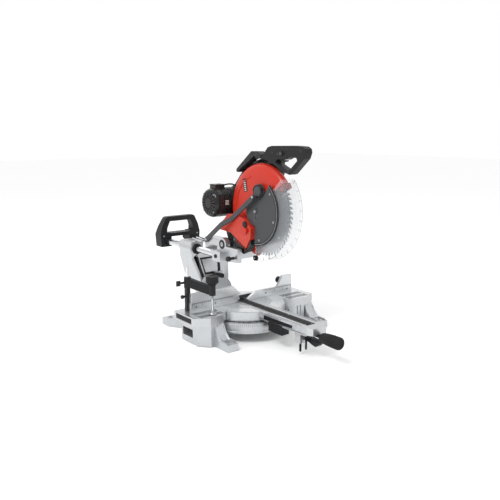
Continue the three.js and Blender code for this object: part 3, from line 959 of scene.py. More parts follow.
FROSTED = Finish("frosted_rib", "clear_plastic", (0.2, 0.21, 0.23), 0.3, 0.0,
                 worn=(0.3, 0.3, 0.3), grain_height=0.05, mottle=0.05, wear=0.0, dust=0.0,
                 specular=0.2, alpha=0.75)
COPPER = Finish("wound_copper", "copper", (0.5, 0.2, 0.09), 0.35, 0.9,
                worn=(0.8, 0.5, 0.3), grain=Grain.ALONG_X, grain_scale=2200.0, grain_height=0.6)
RUBBER = Finish("black_rubber", "rubber", (0.01, 0.01, 0.01), 0.8, 0.0,
                worn=(0.05, 0.05, 0.05), grain_scale=2400.0, grain_height=0.5, mottle=0.3,
                wear=0.15, dust=0.02, specular=0.15)
# Flat black for printed marks; also painted shade: dark sheets in the table slots, the column's
# channel, the arm's lower sides and the stop notches.
MARKING_AND_SHADE = Finish("scale_marking", "black_plastic", (0.008, 0.008, 0.009), 0.5, 0.0,
                 grain_height=0.05, wear=0.0, dust=0.0, specular=0.15)
LABEL = Finish("label_print", "steel", (0.5, 0.5, 0.48), 0.5, 0.0, worn=(0.5, 0.5, 0.5),
               grain_height=0.05, wear=0.1)


class Workshop:
    """Finishes shapes and sets them on the bodies of the frame."""

    def __init__(self) -> None:
        """Builds what every sub-assembly shares."""
        self.effects = SharedEffects()
        self.repeats = Repeats()

    def paint(self, finish: Finish) -> bpy.types.Material:
        """Gives the material of a finish."""
        return finish.material(self.effects)

    def fit(
        self,
        name: str,
        shape: Solid,
        body: str,
        finish: Finish,
        replaces: Sequence[str] = (),
        crease: float = 34.0,
    ) -> bpy.types.Object:
        """Finishes a shape and sets it on a body.

        Args:
            name: the piece's name.
            shape: the shape, which is used up.
            body: the body that it rides on.
            finish: its finish.
            replaces: the CAD nodes that it stands for.
            crease: edges that turn more than this stay sharp.

        Returns:
            The finished piece.
        """
        piece = shape.obj
        piece.name = name
        piece.data.name = name
        piece.data.transform(TO_FRAME)
        piece.data.materials.clear()
        piece.data.materials.append(self.paint(finish))
        for polygon in piece.data.polygons:
            polygon.material_index = 0
            polygon.use_smooth = True
        piece.data.set_sharp_from_angle(angle=math.radians(crease))
        even = piece.modifiers.new("even_light", "WEIGHTED_NORMAL")
        even.keep_sharp = True
        shape.settle()
        piece.data.name = name
        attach(piece, body)
        if replaces:
            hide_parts(*replaces)
        return piece

    def carry(
        self, node: str, body: str, finish: Finish, edge: float = 0.8, segments: int = 2
    ) -> bpy.types.Object:
        """Gives a CAD node rounded edges and a finish.

        Args:
            node: the node.
            body: the body that it is part of.
            finish: its finish.
            edge: the rounding's width.
            segments: the steps across it.

        Returns:
            The piece that stands for the node.
        """
        shape = Solid.from_node(node).soften(edge, segments)
        return self.fit(node + "_skin", shape, body, finish, (node,))

    def screws(
        self,
        name: str,
        points: Sequence[Point3],
        facing: Point3,
        body: str,
        radius: float = 3.6,
        finish: Finish = GROUND,
    ) -> bpy.types.Object:
        """Sets cross-head screws.

        Args:
            name: the piece's name.
            points: where the heads sit.
            facing: the way that they face.
            body: the body that they ride on.
            radius: the head's radius.
            finish: their finish.

        Returns:
            The screws as one piece.
        """
        height = radius * 0.55
        profile = [(0, -0.4), (radius, -0.4), (radius, height * 0.35),
                   (radius * 0.86, height * 0.8), (radius * 0.55, height), (0, height)]
        head = turned(Axis.Z, profile, (0, 0), 20)
        arm, wide = radius * 0.62, radius * 0.14
        head.cut(block((-arm, arm), (-wide, wide), (height * 0.4, height + 1)))
        head.cut(block((-wide, wide), (-arm, arm), (height * 0.4, height + 1)))
        made = self.repeats.on_points(head, points, facing, self.paint(finish))
        return self.fit(name, made, body, finish)


@dataclass
class BaseCasting:
    """The cast base: a ring between two tables, on four feet, with the mitre scale."""

    table_top: float = 105.0
    slot_size: Point2 = (4.6, 27.0)
    slot_depth: float = 6.0
    slot_pitch: float = 8.6
    slots_per_row: int = 11
    slot_rows: tuple[float, ...] = (34.0, 70.0)
    first_slot: float = 146.0
    ring_centre: Point2 = (0.0, 98.0)
    ring_radius: float = 160.0
    scale_height: float = 71.6
    scale_span: Point2 = (217.0, 323.0)
    foot_pads: tuple[Point2, ...] = (
        (-172.0, -42.0), (231.5, -42.0), (-183.0, 316.0), (183.0, 316.0)
    )

    def build(self, shop: Workshop) -> None:
        """Makes and dresses the base.

        Args:
            shop: the workshop.
        """
        shape = Solid.from_node("base_casting")
        for side in (-1, 1):
            for number, row in enumerate(self.slot_rows):
                slots = self._slots(shop, side, row)
                # A dark block on each slot's floor is painted shade.
                floor = self._slot_painted_shades(shop, side, row)
                shape.cut(slots)
                name = "left" if side < 0 else "right"
                shop.fit(f"slot_floor_{number}_{name}", floor, "base", MARKING_AND_SHADE)
            shape.cut(self._end_recess(side))
            shape.join(*self._wing_ribs(side))
        shape.join(*self._leg_ribs())
        shape.join(self._ring_band())
        shop.fit("base_skin", shape.soften(1.1), "base", CAST, ("base_casting",))
        self._tops(shop)
        self._scale(shop)
        self._end_inserts(shop)
        self._foot_washers(shop)

    def _slots(self, shop: Workshop, side: int, row: float) -> Solid:
        """Makes the cutters for one row of table slots."""
        wide, long = self.slot_size
        low = self.table_top - self.slot_depth
        first = side * self.first_slot
        ends = (min(first, first + side * wide), max(first, first + side * wide))
        cutter = block(ends, (row - long / 2, row + long / 2), (low, self.table_top + 2))
        return shop.repeats.by_step(
            cutter, self.slots_per_row, shop.paint(CAST), shift=(side * self.slot_pitch, 0.0, 0.0)
        )

    def _slot_painted_shades(self, shop: Workshop, side: int, row: float) -> Solid:
        """Makes dark blocks on the floors of one row of table slots: painted shade in the slots."""
        wide, long = self.slot_size
        low = self.table_top - self.slot_depth
        first = side * self.first_slot
        ends = sorted((first + side * 0.1, first + side * (wide - 0.1)))
        floor = block((ends[0], ends[1]), (row - long / 2 + 0.1, row + long / 2 - 0.1),
                      (low + 0.1, low + 4.6))
        return shop.repeats.by_step(
            floor, self.slots_per_row, shop.paint(MARKING_AND_SHADE), shift=(side * self.slot_pitch, 0.0, 0.0)
        )

    def _end_recess(self, side: int) -> Solid:
        """Makes the cutter for the shallow pocket in a table's end."""
        depth = 3.0
        outer = 262.0
        x = sorted((side * (outer - depth), side * (outer + 2)))
        return block((x[0], x[1]), (42.0, 138.0), (82.5, 100.5))

    def _wing_ribs(self, side: int) -> list[Solid]:
        """Makes the upright ribs on a table's front wall."""
        ribs = []
        for x, y in ((176.0, 13.4), (190.0, 11.6)):
            ends = sorted((side * x, side * (x + 3.4)))
            ribs.append(block((ends[0], ends[1]), (y - 2.2, y + 8), (30.0, 79.0)))
        return ribs

    def _leg_ribs(self) -> list[Solid]:
        """Makes the raised ridge along each front leg."""
        ridge = [(-58, 20), (-58, 29), (-19, 32), (0, 49), (9, 66), (16, 66), (16, 20)]
        return [prism(Axis.X, ridge, x, x + 4.5) for x in (-191.0, -157.5, 212.0, 246.5)]

    def _ring_band(self) -> Solid:
        """Makes the raised band round the foot of the ring."""
        inner = self.ring_radius - 3.0
        outer = self.ring_radius + 1.6
        profile = [(inner, 36.5), (outer, 36.5), (outer, 42.0), (inner, 43.5)]
        return turned(Axis.Z, profile, self.ring_centre, 96)

    def _tops(self, shop: Workshop) -> None:
        """Lays the machined faces on the two tables, painted lighter than the casting as lit tops.
        """
        for side, name in SIDES:
            plan = [(127, 40), (162, 13), (212, 5), (257, 31), (257, 145), (125, 145)]
            points = [(side * x, y) for x, y in plan]
            low, high = self.table_top - 1.0, self.table_top + 0.12
            face = prism(Axis.Z, points, low, high)
            for row in self.slot_rows:
                face.cut(self._slots(shop, side, row))
            shop.fit(f"table_face_{name}", face.soften(0.1, 1), "base", MACHINED_LIT_TOP)

    def _scale(self, shop: Workshop) -> None:
        """Makes the mitre scale with its marks, and black discs for the stop notches: painted shade
        in the notches.
        """
        shop.carry("miter_scale", "base", GROUND, 0.25, 1)
        start, end = self.scale_span
        z = (self.scale_height - 0.2, self.scale_height + 0.12)
        for name, every, length in (("fine", 1.0, 3.4), ("five", 5.0, 5.2), ("ten", 10.0, 7.0)):
            count = int((end - start) / every) + 1
            half = 0.28 if every < 5 else 0.42
            x = self.ring_centre[0]
            outer = 158.0
            mark = block((outer - length, outer), (-half, half), z)
            spin = Matrix.Rotation(math.radians(start), 4, "Z")
            mark.moved(Matrix.Translation((x, self.ring_centre[1], 0.0)) @ spin)
            marks = shop.repeats.by_step(
                mark,
                count,
                shop.paint(MARKING_AND_SHADE),
                centre=(x, self.ring_centre[1], 0.0),
                axis=UPWARDS,
                turn=every,
            )
            shop.fit(f"scale_marks_{name}", marks, "base", MARKING_AND_SHADE)
        x, y = self.ring_centre
        edge = self.ring_radius
        tick = block((edge - 0.3, edge + 0.25), (-0.45, 0.45), (59.0, 67.5))
        tick.moved(Matrix.Translation((x, y, 0.0)) @ Matrix.Rotation(math.radians(start), 4, "Z"))
        ticks = shop.repeats.by_step(
            tick, 43, shop.paint(MARKING_AND_SHADE), centre=(x, y, 0.0), axis=UPWARDS, turn=2.5
        )
        shop.fit("ring_ticks", ticks, "base", MARKING_AND_SHADE)
        # Thin black discs stand for the stop notches: painted shade, no notch is cut.
        stop = rod(Axis.Z, 2.6, (self.scale_height - 0.3, self.scale_height + 0.1), (0, 0), 0.1, 16)
        spots = []
        for angle in (225, 238.4, 247.5, 255, 262, 270, 278, 285, 292.5, 301.6, 315):
            spots.append((*polar(151.0, angle, self.ring_centre), 0.0))
        notch_shades = shop.repeats.on_points(stop, spots, UPWARDS, shop.paint(MARKING_AND_SHADE))
        shop.fit("stop_notches", notch_shades, "base", MARKING_AND_SHADE)

    def _end_inserts(self, shop: Workshop) -> None:
        """Sets a dark ribbed insert in each table's end pocket."""
        for side, name in SIDES:
            x = sorted((side * 259.2, side * 260.6))
            insert = block((x[0], x[1]), (43.0, 137.0), (83.5, 99.5))
            rib_x = sorted((side * 260.4, side * 261.5))
            rib = block((rib_x[0], rib_x[1]), (47.0, 49.0), (85.0, 98.0))
            ribs = shop.repeats.by_step(rib, 12, shop.paint(BLACK), shift=(0.0, 7.0, 0.0))
            shop.fit(f"end_insert_{name}", insert.beside(ribs).soften(0.2, 1), "base", BLACK)

    def _foot_washers(self, shop: Workshop) -> None:
        """Sets a raised seat round the bolt hole of each foot."""
        heights = (26.2, 26.2, 26.0, 26.0)
        for number, ((x, y), z) in enumerate(zip(self.foot_pads, heights)):
            profile = [(5.2, z - 1), (9.5, z - 1), (9.5, z + 1.2), (8.9, z + 1.7), (5.2, z + 1.7)]
            seat = turned(Axis.Z, profile, (x, y), 40)
            shop.fit(f"foot_seat_{number}", seat, "base", CAST)


@dataclass
class Fence:
    """The split fence: fixed faces, sliding faces and their locks."""

    front: float = 98.0
    foot: float = 105.3
    top: float = 134.0
    mark_pitch: float = 8.0

    def build(self, shop: Workshop) -> None:
        """Makes and dresses the fence.

        Args:
            shop: the workshop.
        """
        shape = Solid.from_node("fence_fixed")
        for x in (-206.0, -128.0, 96.0, 198.0):
            shape.cut(bore(Axis.Y, 3.4, (80, 103.5), (x, 120.0)))
        shop.fit("fence_fixed_skin", shape.soften(0.9), "base", MACHINED_SHADED_SIDE, ("fence_fixed",))
        for _, name in SIDES:
            shop.carry(f"fence_upper_{name}", f"fence_{name}", MACHINED_SHADED_SIDE, 1.0)
        self._marks(shop, "left", -222.0, 22, 1)
        self._marks(shop, "right", 217.0, 18, -1)
        self._kerf_insert(shop)
        self._knob(shop)
        heads = [(x, self.front + 4.5, 120.0) for x in (-206.0, -128.0, 96.0, 198.0)]
        shop.screws("fence_screws", heads, (0.0, -1.0, 0.0), "base", 3.0)

    def _marks(self, shop: Workshop, name: str, start: float, count: int, way: int) -> None:
        """Cuts the ruler marks along one fixed face."""
        y = (self.front - 0.15, self.front + 0.4)
        ends = sorted((start, start + way * self.mark_pitch * (count - 1)))
        line = block((ends[0], ends[1]), y, (self.top - 2.6, self.top - 1.4))
        shop.fit(f"fence_line_{name}", line, "base", MARKING_AND_SHADE)
        for label, every, height in (("short", 1, 7.0), ("long", 5, 12.0)):
            mark = block((start - 0.6, start + 0.6), y, (self.top - height, self.top - 1.8))
            marks = shop.repeats.by_step(
                mark,
                count // every,
                shop.paint(MARKING_AND_SHADE),
                shift=(way * self.mark_pitch * every, 0.0, 0.0),
            )
            shop.fit(f"fence_marks_{name}_{label}", marks, "base", MARKING_AND_SHADE)

    def _kerf_insert(self, shop: Workshop) -> None:
        """Sets the dark bridge behind the gap between the faces."""
        bridge = block((-54.0, 54.0), (134.6, 136.4), (105.8, 117.4)).soften(0.4)
        shop.fit("fence_bridge_face", bridge, "base", DARK)

    def _knob(self, shop: Workshop) -> None:
        """Makes the right face's fluted lock knob."""
        centre = (184.0, 150.0)
        knob = rod(Axis.Y, 13.0, (118.0, 136.0), centre, 1.6, 48)
        flute = bore(Axis.Y, 2.2, (121.0, 140.0), (centre[0] + 14.0, centre[1]), 12)
        flutes = shop.repeats.by_step(
            flute,
            12,
            shop.paint(BLACK),
            centre=(centre[0], 127.0, centre[1]),
            axis=(0.0, 1.0, 0.0),
            turn=30.0,
        )
        knob.cut(flutes)
        stem = rod(Axis.Y, 4.0, (110.3, 120.0), centre, 0.4, 24)
        shape = knob.join(stem).soften(0.5, 2, 40)
        shop.fit("fence_knob_skin", shape, "fence_knob", BLACK, ("fence_knob_right",))


@dataclass
class Clamp:
    """The work clamp: post, rod, arm, screw and knobs."""

    rod_at: Point2 = (-227.0, 118.0)
    screw_at: Point2 = (-185.0, 32.0)
    knob_radius: float = 21.0
    knob_span: Point2 = (206.3, 236.0)

    def build(self, shop: Workshop) -> None:
        """Makes and dresses the clamp.

        Args:
            shop: the workshop.
        """
        shop.carry("clamp_post", "base", BLACK, 1.2)
        bar = rod(Axis.Z, 5.0, (186.3, 257.0), self.rod_at, 1.2, 48)
        shop.fit("clamp_rod_skin", bar, "base", CHROMED, ("clamp_rod",))
        shop.carry("clamp_arm", "clamp_swing", BLACK, 1.4, 3)
        shop.carry("clamp_wing_screw", "clamp_wing", BLACK, 1.0, 3)
        shop.carry("clamp_post_knob", "clamp_post_lock", BLACK, 0.9)
        self._knob(shop)
        self._screw(shop)

    def _knob(self, shop: Workshop) -> None:
        """Makes the fluted clamp knob with its dished top."""
        low, high = self.knob_span
        r = self.knob_radius
        profile = [(4.8, low), (13.0, low), (15.0, low + 4), (r - 1.5, low + 7), (r, low + 9),
                   (r, high - 2.4), (r - 0.8, high - 0.8), (r - 2.6, high), (12.0, high),
                   (10.5, high - 1.4), (0.0, high - 1.4), (0.0, high - 8), (4.8, high - 8)]
        knob = turned(Axis.Z, profile, self.screw_at, 72)
        x, y = self.screw_at
        flute = bore(Axis.Z, 2.4, (low + 7, high + 2), (x + r + 1.1, y), 12)
        flutes = shop.repeats.by_step(
            flute, 18, shop.paint(BLACK), centre=(x, y, 0.0), axis=UPWARDS, turn=20.0
        )
        knob.cut(flutes)
        shop.fit("clamp_knob_skin", knob.soften(0.5, 2, 40), "clamp_turn", BLACK, ("clamp_knob",))

    def _screw(self, shop: Workshop) -> None:
        """Makes the threaded screw and its swivel pad."""
        profile: list[Point2] = [(0.0, 106.0), (13.2, 106.0), (14.0, 106.8), (14.0, 110.4),
                                 (12.6, 112.0), (7.0, 112.4), (6.2, 118.0), (3.9, 118.6)]
        z = 119.0
        pitch = 1.9
        while z < 211.0:
            profile += [(3.9, z), (4.5, z + pitch * 0.4), (4.5, z + pitch * 0.6)]
            z += pitch
        profile += [(3.9, 212.0), (3.9, 213.4), (3.2, 214.0), (0.0, 214.0)]
        screw = turned(Axis.Z, profile, self.screw_at, 32)
        shop.fit("clamp_screw_skin", screw, "clamp_lift", GROUND, ("clamp_screw",))


@dataclass
class TurnTable:
    """The turntable with its arm, kerf plates, mitre lock and detent."""

    centre: Point2 = (0.0, 98.0)
    radius: float = 142.0
    bottom: float = 72.0
    top: float = 105.0
    plate_inner: float = 3.0
    plate_outer: float = 18.0
    grip_axis: Point2 = (0.0, 76.0)

    def build(self, shop: Workshop) -> None:
        """Makes and dresses the turntable.

        Args:
            shop: the workshop.
        """
        self._casting(shop)
        self._kerf_plates(shop)
        self._under_arm(shop)
        self._grip(shop)
        self._trunnion(shop)

    def _casting(self, shop: Workshop) -> None:
        """Makes the disc and the arm in one casting."""
        r, low, high = self.radius, self.bottom, self.top
        disc = turned(
            Axis.Z,
            [(0, low), (r - 1.5, low), (r, low + 1.5), (r, high - 2.2), (r - 0.7, high - 0.7),
             (r - 2.2, high), (0, high)],
            self.centre,
            144,
        )
        arm = [(-38, 60), (-38, -262), (-36, -270), (-28, -284), (28, -284), (36, -270),
               (38, -262), (38, 60)]
        disc.join(prism(Axis.Z, arm, 82.0, high))
        disc.join(block((-28, -7), (-226, -200), (42, 83)))
        disc.join(rod(Axis.Z, 13.0, (40.0, 73.0), self.centre, 1.0, 48))
        disc.join(
            block((-38.0, -34.5), (-262, -38), (78.0, 84)),
            block((34.5, 38.0), (-262, -38), (78.0, 84)),
        )
        disc.cut(block((-18.3, 18.3), (-246, 170), (99.0, high + 2)))
        disc.cut(block((-7, 7), (-240, 164), (88.0, high + 2)))
        for x in (-31.5, 31.5):
            disc.cut(block((x - 2.2, x + 2.2), (-236, -66), (high - 2.4, high + 2)))
        shop.fit("turntable_skin", disc.soften(1.0), "turntable", CAST, ("turntable_casting",))
        ring = turned(
            Axis.Z,
            [(96.0, high - 0.5), (139.0, high - 0.5), (139.0, high + 0.1), (96.0, high + 0.1)],
            self.centre,
            144,
        )
        ring.cut(block((-39.0, 39.0), (-60, 60), (100, 110)))
        shop.fit("turntable_face", ring, "turntable", MACHINED_LIT_TOP)
        # A thin black sheet on the lower part of each side of the arm: painted shade under the arm.
        for side, name in SIDES:
            x = sorted((side * 37.6, side * 38.2))
            panel = prism(Axis.X, [(-196, 86), (-200, 97), (-56, 97), (-56, 84.5), (-120, 84.5)],
                          x[0], x[1])
            shop.fit(f"arm_side_{name}", panel, "turntable", MARKING_AND_SHADE)

    def _kerf_plates(self, shop: Workshop) -> None:
        """Makes the two kerf plates with their ribs and screws."""
        low, high = 99.3, 104.8
        heads = []
        for side, name in SIDES:
            inner, outer = self.plate_inner, self.plate_outer
            section = [(inner, low), (outer, low), (outer, high - 0.5), (outer - 0.5, high),
                       (13.6, high), (13.2, high - 1.1), (11.4, high - 1.1), (11.0, high),
                       (8.6, high), (8.2, high - 1.1), (6.4, high - 1.1), (6.0, high),
                       (inner + 0.4, high), (inner, high - 0.4)]
            plate = prism(Axis.Y, [(side * x, z) for x, z in section], -245.0, 169.0)
            for y in (-232.0, -120.0, 0.0, 92.0, 158.0):
                plate.cut(bore(Axis.Z, 2.9, (high - 1.4, high + 2), (side * 14.6, y), 24))
                heads.append((side * 14.6, y, high - 1.3))
            node = f"kerf_plate_{name}"
            shop.fit(node + "_skin", plate, "turntable", BLACK, (node,))
        shop.screws("kerf_screws", heads, UPWARDS, "turntable", 2.4)

    def _under_arm(self, shop: Workshop) -> None:
        """Dresses the detent housing, lever and bolts under the arm."""
        housing = Solid.from_node("detent_housing")
        for y in (-140.0, -124.0, -108.0):
            housing.cut(block((-42, -38.6), (y, y + 6), (54, 78)))
        housing.soften(1.6, 3)
        shop.fit("detent_housing_skin", housing, "turntable", BLACK, ("detent_housing",))
        for node, spot, radius in (
            ("arm_bolt_rear", (-14.0, -212.0), 4.0),
            ("arm_bolt_front", (-14.0, -238.0), 3.5),
        ):
            low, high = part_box(node)
            bottom = (low.z - TO_FRAME.translation.z) / MM
            top = (high.z - TO_FRAME.translation.z) / MM
            profile: list[Point2] = [(0.0, bottom), (radius - 1.0, bottom), (radius, bottom + 1.0)]
            z = bottom + 2.0
            while z < top - 4.0:
                profile += [(radius, z), (radius - 0.7, z + 0.7), (radius, z + 1.4)]
                z += 1.8
            profile += [(radius, top), (0.0, top)]
            bolt = turned(Axis.Z, profile, spot, 32)
            shop.fit(node + "_skin", bolt, "turntable", BLACK, (node,))
        side = [(-205, 50), (-205, 63), (-228, 62.4), (-252, 60), (-268, 58.4), (-276, 57),
                (-282.4, 53.6), (-284, 50), (-278, 43.4), (-270, 38), (-255, 40.6), (-240, 46),
                (-222, 48.8)]
        lever = prism(Axis.X, side, -5.0, 18.0).soften(2.2, 3)
        shop.fit("detent_lever_skin", lever, "detent", BLACK, ("detent_lever",))
        pointer = prism(Axis.Z, [(20, -44), (33, -44), (33, -56), (27, -60), (20, -56)], 78.6, 81.4)
        shop.fit("angle_pointer", pointer.soften(0.4), "turntable", RED_CLEAR)

    def _grip(self, shop: Workshop) -> None:
        """Makes the mitre lock's rod and fluted grip."""
        bar = rod(Axis.Y, 5.0, (-262.0, -66.0), self.grip_axis, 0.6, 40)
        shop.fit("miter_lock_rod_skin", bar, "miter_lock", GROUND, ("miter_lock_rod",))
        profile = [(0, -374), (13.5, -374), (16.2, -373.2), (18.4, -371), (19.6, -368),
                   (20, -364), (19.7, -340), (18.4, -318), (16.6, -304), (14.2, -296),
                   (11.0, -290.6), (9.4, -288), (5.5, -287), (5.5, -262.3), (0, -262.3)]
        grip = turned(Axis.Y, profile, self.grip_axis, 96)
        x, z = self.grip_axis
        flute = block((20.0 - 1.5, 22.0), (-366, -322), (-1.3, 1.3))
        flute.moved(Matrix.Translation((x, 0.0, z)))
        flutes = shop.repeats.by_step(
            flute,
            20,
            shop.paint(SOFT_GRIP),
            centre=(x, 0.0, z),
            axis=(0.0, 1.0, 0.0),
            turn=18.0,
        )
        grip.cut(flutes)
        dish = [(0, -376), (9.5, -376), (9.5, -373), (0, -373)]
        grip.cut(turned(Axis.Y, dish, self.grip_axis, 48))
        shape = grip.soften(0.5, 2, 40)
        shop.fit("miter_lock_grip_skin", shape, "miter_lock", SOFT_GRIP, ("miter_lock_grip",))

    def _trunnion(self, shop: Workshop) -> None:
        """Dresses the bevel trunnion."""
        shape = Solid.from_node("bevel_trunnion")
        shop.fit("bevel_trunnion_skin", shape.soften(1.2), "turntable", CAST, ("bevel_trunnion",))


@dataclass
class Column:
    """The leaning column with its two rail bearings and the locks."""

    rails: tuple[float, float] = (-68.0, 52.0)
    rail_height: float = 272.0
    front: float = 305.0
    back: float = 430.0
    channel_depth: float = 16.0
    channel: tuple[Point2, ...] = ((-83, 243), (-63, 243), (-50, 166), (-62, 166))

    def build(self, shop: Workshop) -> None:
        """Makes and dresses the column.

        Args:
            shop: the workshop.
        """
        shape = Solid.from_node("column_casting")
        for x in self.rails:
            collar = turned(
                Axis.Y,
                [(26.0, self.front + 2), (28.6, self.front + 3), (28.6, self.front + 12),
                 (26.0, self.front + 13)],
                (x, self.rail_height), 72,
            )
            shape.join(collar)
        shape.cut(prism(Axis.X, [(388, 150), (388, 320), (470, 320), (470, 150)], -140.0, 140.0))
        shape.cut(self._layer([(-46, 172), (26, 172), (34, 236), (-56, 236)], -2.0, 8.0))
        shape.cut(self._layer(self.channel, -2.0, self.channel_depth))
        shop.fit("column_skin", shape.soften(1.4, 3), "column", CAST, ("column_casting",))
        self._panel(shop)
        self._bushes(shop)
        self._locks(shop)

    def _layer(self, outline: Sequence[Point2], near: float, far: float) -> Solid:
        """Makes a layer that follows the column's bent front.

        Args:
            outline: the layer's outline, seen from the front.
            near: its front face's depth below the column's front.
            far: its back face's depth.

        Returns:
            The layer.
        """
        bend = ((self.front, 300.0), (self.front, 236.0), (279.5, 150.0), (279.5, 100.0))
        profile = [(y + near, z) for y, z in bend] + [(y + far, z) for y, z in reversed(bend)]
        return prism(Axis.Y, outline, 250.0, 350.0).keep(prism(Axis.X, profile, -120.0, 120.0))

    def _panel(self, shop: Workshop) -> None:
        """Sets the framed panel and the channel in the column's front, with a dark sheet at the
        channel's bottom as painted shade.
        """
        outer = [(-45.6, 172.4), (25.6, 172.4), (33.4, 235.6), (-55.4, 235.6)]
        inner = [(-38.4, 179.4), (18.6, 179.4), (25.6, 228.8), (-47.0, 228.8)]
        rim = self._layer(outer, 3.0, 7.9)
        rim.cut(self._layer(inner, 0.0, 6.4))
        shop.fit("column_panel_rim", rim.soften(0.5), "column", BLACK)
        face = self._layer(inner, 5.4, 6.3).soften(0.2)
        shop.fit("column_panel_face", face, "column", CAST)
        # A dark sheet at the bottom of the channel: painted shade.
        channel_shade = self._layer(self.channel, self.channel_depth - 1.2, self.channel_depth - 0.1)
        shop.fit("column_channel", channel_shade, "column", MARKING_AND_SHADE)

    def _bushes(self, shop: Workshop) -> None:
        """Makes the rail bushes with their wiper lips."""
        for x, side in zip(self.rails, ("left", "right")):
            profile = [(12.3, 299.0), (17.6, 299.0), (19.0, 300.0), (19.7, 302.0), (19.7, 386.0),
                       (19.0, 388.0), (17.6, 389.0), (12.3, 389.0), (12.9, 386.0), (12.9, 302.0)]
            bush = turned(Axis.Y, profile, (x, self.rail_height), 72)
            node = f"bush_{side}"
            shop.fit(node + "_skin", bush, "column", BLACK, (node,))

    def _locks(self, shop: Workshop) -> None:
        """Dresses the bevel lock lever and the slide lock knob."""
        shop.carry("bevel_lock_lever", "bevel_lock", BLACK, 1.6, 3)
        centre = (380.0, self.rail_height)
        knob = rod(Axis.X, 15.0, (91.0, 108.0), centre, 2.0, 56)
        flute = bore(Axis.X, 2.6, (94.0, 112.0), (centre[0] + 16.2, centre[1]), 12)
        flutes = shop.repeats.by_step(
            flute, 10, shop.paint(BLACK), centre=(100.0, *centre), axis=(1.0, 0.0, 0.0), turn=36.0
        )
        knob.cut(flutes).join(rod(Axis.X, 5.0, (79.5, 92.0), centre, 0.4, 24))
        shape = knob.soften(0.5, 2, 40)
        shop.fit("slide_lock_knob_skin", shape, "slide_lock", BLACK, ("slide_lock_knob",))


@dataclass
class Carriage:
    """The sliding carriage: rails, rear handle, hinge bracket, spring and link bar."""

    rails: tuple[float, float] = (-68.0, 52.0)
    rail_height: float = 272.0
    rail_span: Point2 = (132.0, 556.0)
    pivot: Point2 = (148.0, 311.0)
    handle_middle: float = -8.0
    link_start: Point2 = (236.0, 318.0)
    link_length: float = 302.0
    link_rise: float = 145.3

    def build(self, shop: Workshop) -> None:
        """Makes and dresses the carriage.

        Args:
            shop: the workshop.
        """
        for x, side in zip(self.rails, ("left", "right")):
            tube = rod(Axis.Y, 12.0, self.rail_span, (x, self.rail_height), 1.2, 72)
            node = f"rail_{side}"
            shop.fit(node + "_skin", tube, "carriage", CHROMED, (node,))
        self._rear_handle(shop)
        self._bracket(shop)
        self._spring(shop)
        self._link(shop)
        shop.carry("head_lock_pin", "lock_pin", BLACK, 0.8)

    def _rear_handle(self, shop: Workshop) -> None:
        """Makes the looped rear handle with its screws."""
        x = self.handle_middle
        shape = Solid.from_node("rear_handle")
        shape.cut(prism(Axis.X, [(564, 240), (564, 296), (540, 380), (600, 380), (600, 240)],
                        -140.0, 140.0))
        eye = [(x - 62, 305), (x + 62, 305), (x + 60, 324), (x + 48, 350), (x - 48, 350),
               (x - 60, 324)]
        shape.cut(prism(Axis.Y, eye, 500.0, 600.0))
        shape.soften(5.0, 4, 40)
        shop.fit("rear_handle_skin", shape, "carriage", BLACK, ("rear_handle",), 50.0)
        for rail, side in zip(self.rails, ("left", "right")):
            plug = rod(Axis.Y, 12.2, (556.3, 585.9), (rail, self.rail_height), 2.4, 48)
            shop.fit(f"rear_handle_plug_{side}", plug, "carriage", SOFT_GRIP)
        heads = [(x + s * 78, 517.9, 292.0) for s in (-1, 1)]
        shop.screws("rear_handle_screws", heads, (0.0, -1.0, 0.0), "carriage", 3.4)

    def _bracket(self, shop: Workshop) -> None:
        """Makes the hinge bracket with its cap and screws."""
        shape = Solid.from_node("hinge_bracket")
        shop.fit("hinge_bracket_skin", shape.soften(1.6, 3), "carriage", CAST, ("hinge_bracket",))
        shaft = rod(Axis.X, 8.0, (-65.6, 70.0), self.pivot, 1.0, 48)
        shaft.cut(bore(Axis.X, 3.4, (-67.0, -63.4), self.pivot, 6))
        shop.fit("hinge_shaft_skin", shaft, "carriage", GROUND, ("hinge_shaft",))
        ring = turned(Axis.X, [(9, -65.4), (15.5, -65.4), (16.5, -64.6), (16.5, -63.8), (9, -63.8)],
                      self.pivot, 56)
        shop.fit("hinge_ring", ring, "carriage", BLACK)
        heads = [(-73.0, 129.8, 280.0), (57.0, 129.8, 281.0)]
        shop.screws("bracket_screws", heads, (0.0, -1.0, 0.0), "carriage", 3.0)
        # A black disc where the bracket's hole is: painted shade in the hole.
        eye = bore(Axis.X, 7.0, (-88.6, -85.9), (156.0, 270.0), 40).soften(0.5)
        shop.fit("bracket_eye", eye, "carriage", BLACK)
        stop = rod(Axis.Y, 4.0, (122.0, 131.0), (-20.0, 268.0), 0.8, 6)
        shop.fit("depth_stop_bolt", stop, "carriage", GROUND)

    def _spring(self, shop: Workshop) -> None:
        """Winds the torsion spring round the hinge."""
        y, z = self.pivot
        turns, steps, radius = 2.5, 90, 14.0
        path = []
        for i in range(steps + 1):
            t = i / steps
            angle = t * turns * 2 * math.pi
            side, up = radius * math.cos(angle), radius * math.sin(angle)
            path.append((-43 + 10.5 * t, y + side, z + up))
        shape = wire(path, 1.4, 14)
        shop.fit("torsion_spring_skin", shape, "carriage", SPRING_STEEL, ("torsion_spring",), 60.0)

    def _link(self, shop: Workshop) -> None:
        """Makes the joggled link bar that lifts the lower guard."""
        shape = Solid.from_node("link_bar").soften(1.3, 3)
        shop.fit("link_bar_skin", shape, "link", DARK, ("link_bar",))
        y, z = polar(self.link_length, self.link_rise, self.link_start)
        cap = rod(Axis.X, 4.6, (-56.2, -53.9), (y, z), 0.9, 32)
        shop.fit("link_pin_cap", cap, "link", GROUND)
        cap = rod(Axis.X, 5.0, (-74.4, -71.9), self.link_start, 0.9, 32)
        shop.fit("link_rear_cap", cap, "link", GROUND)


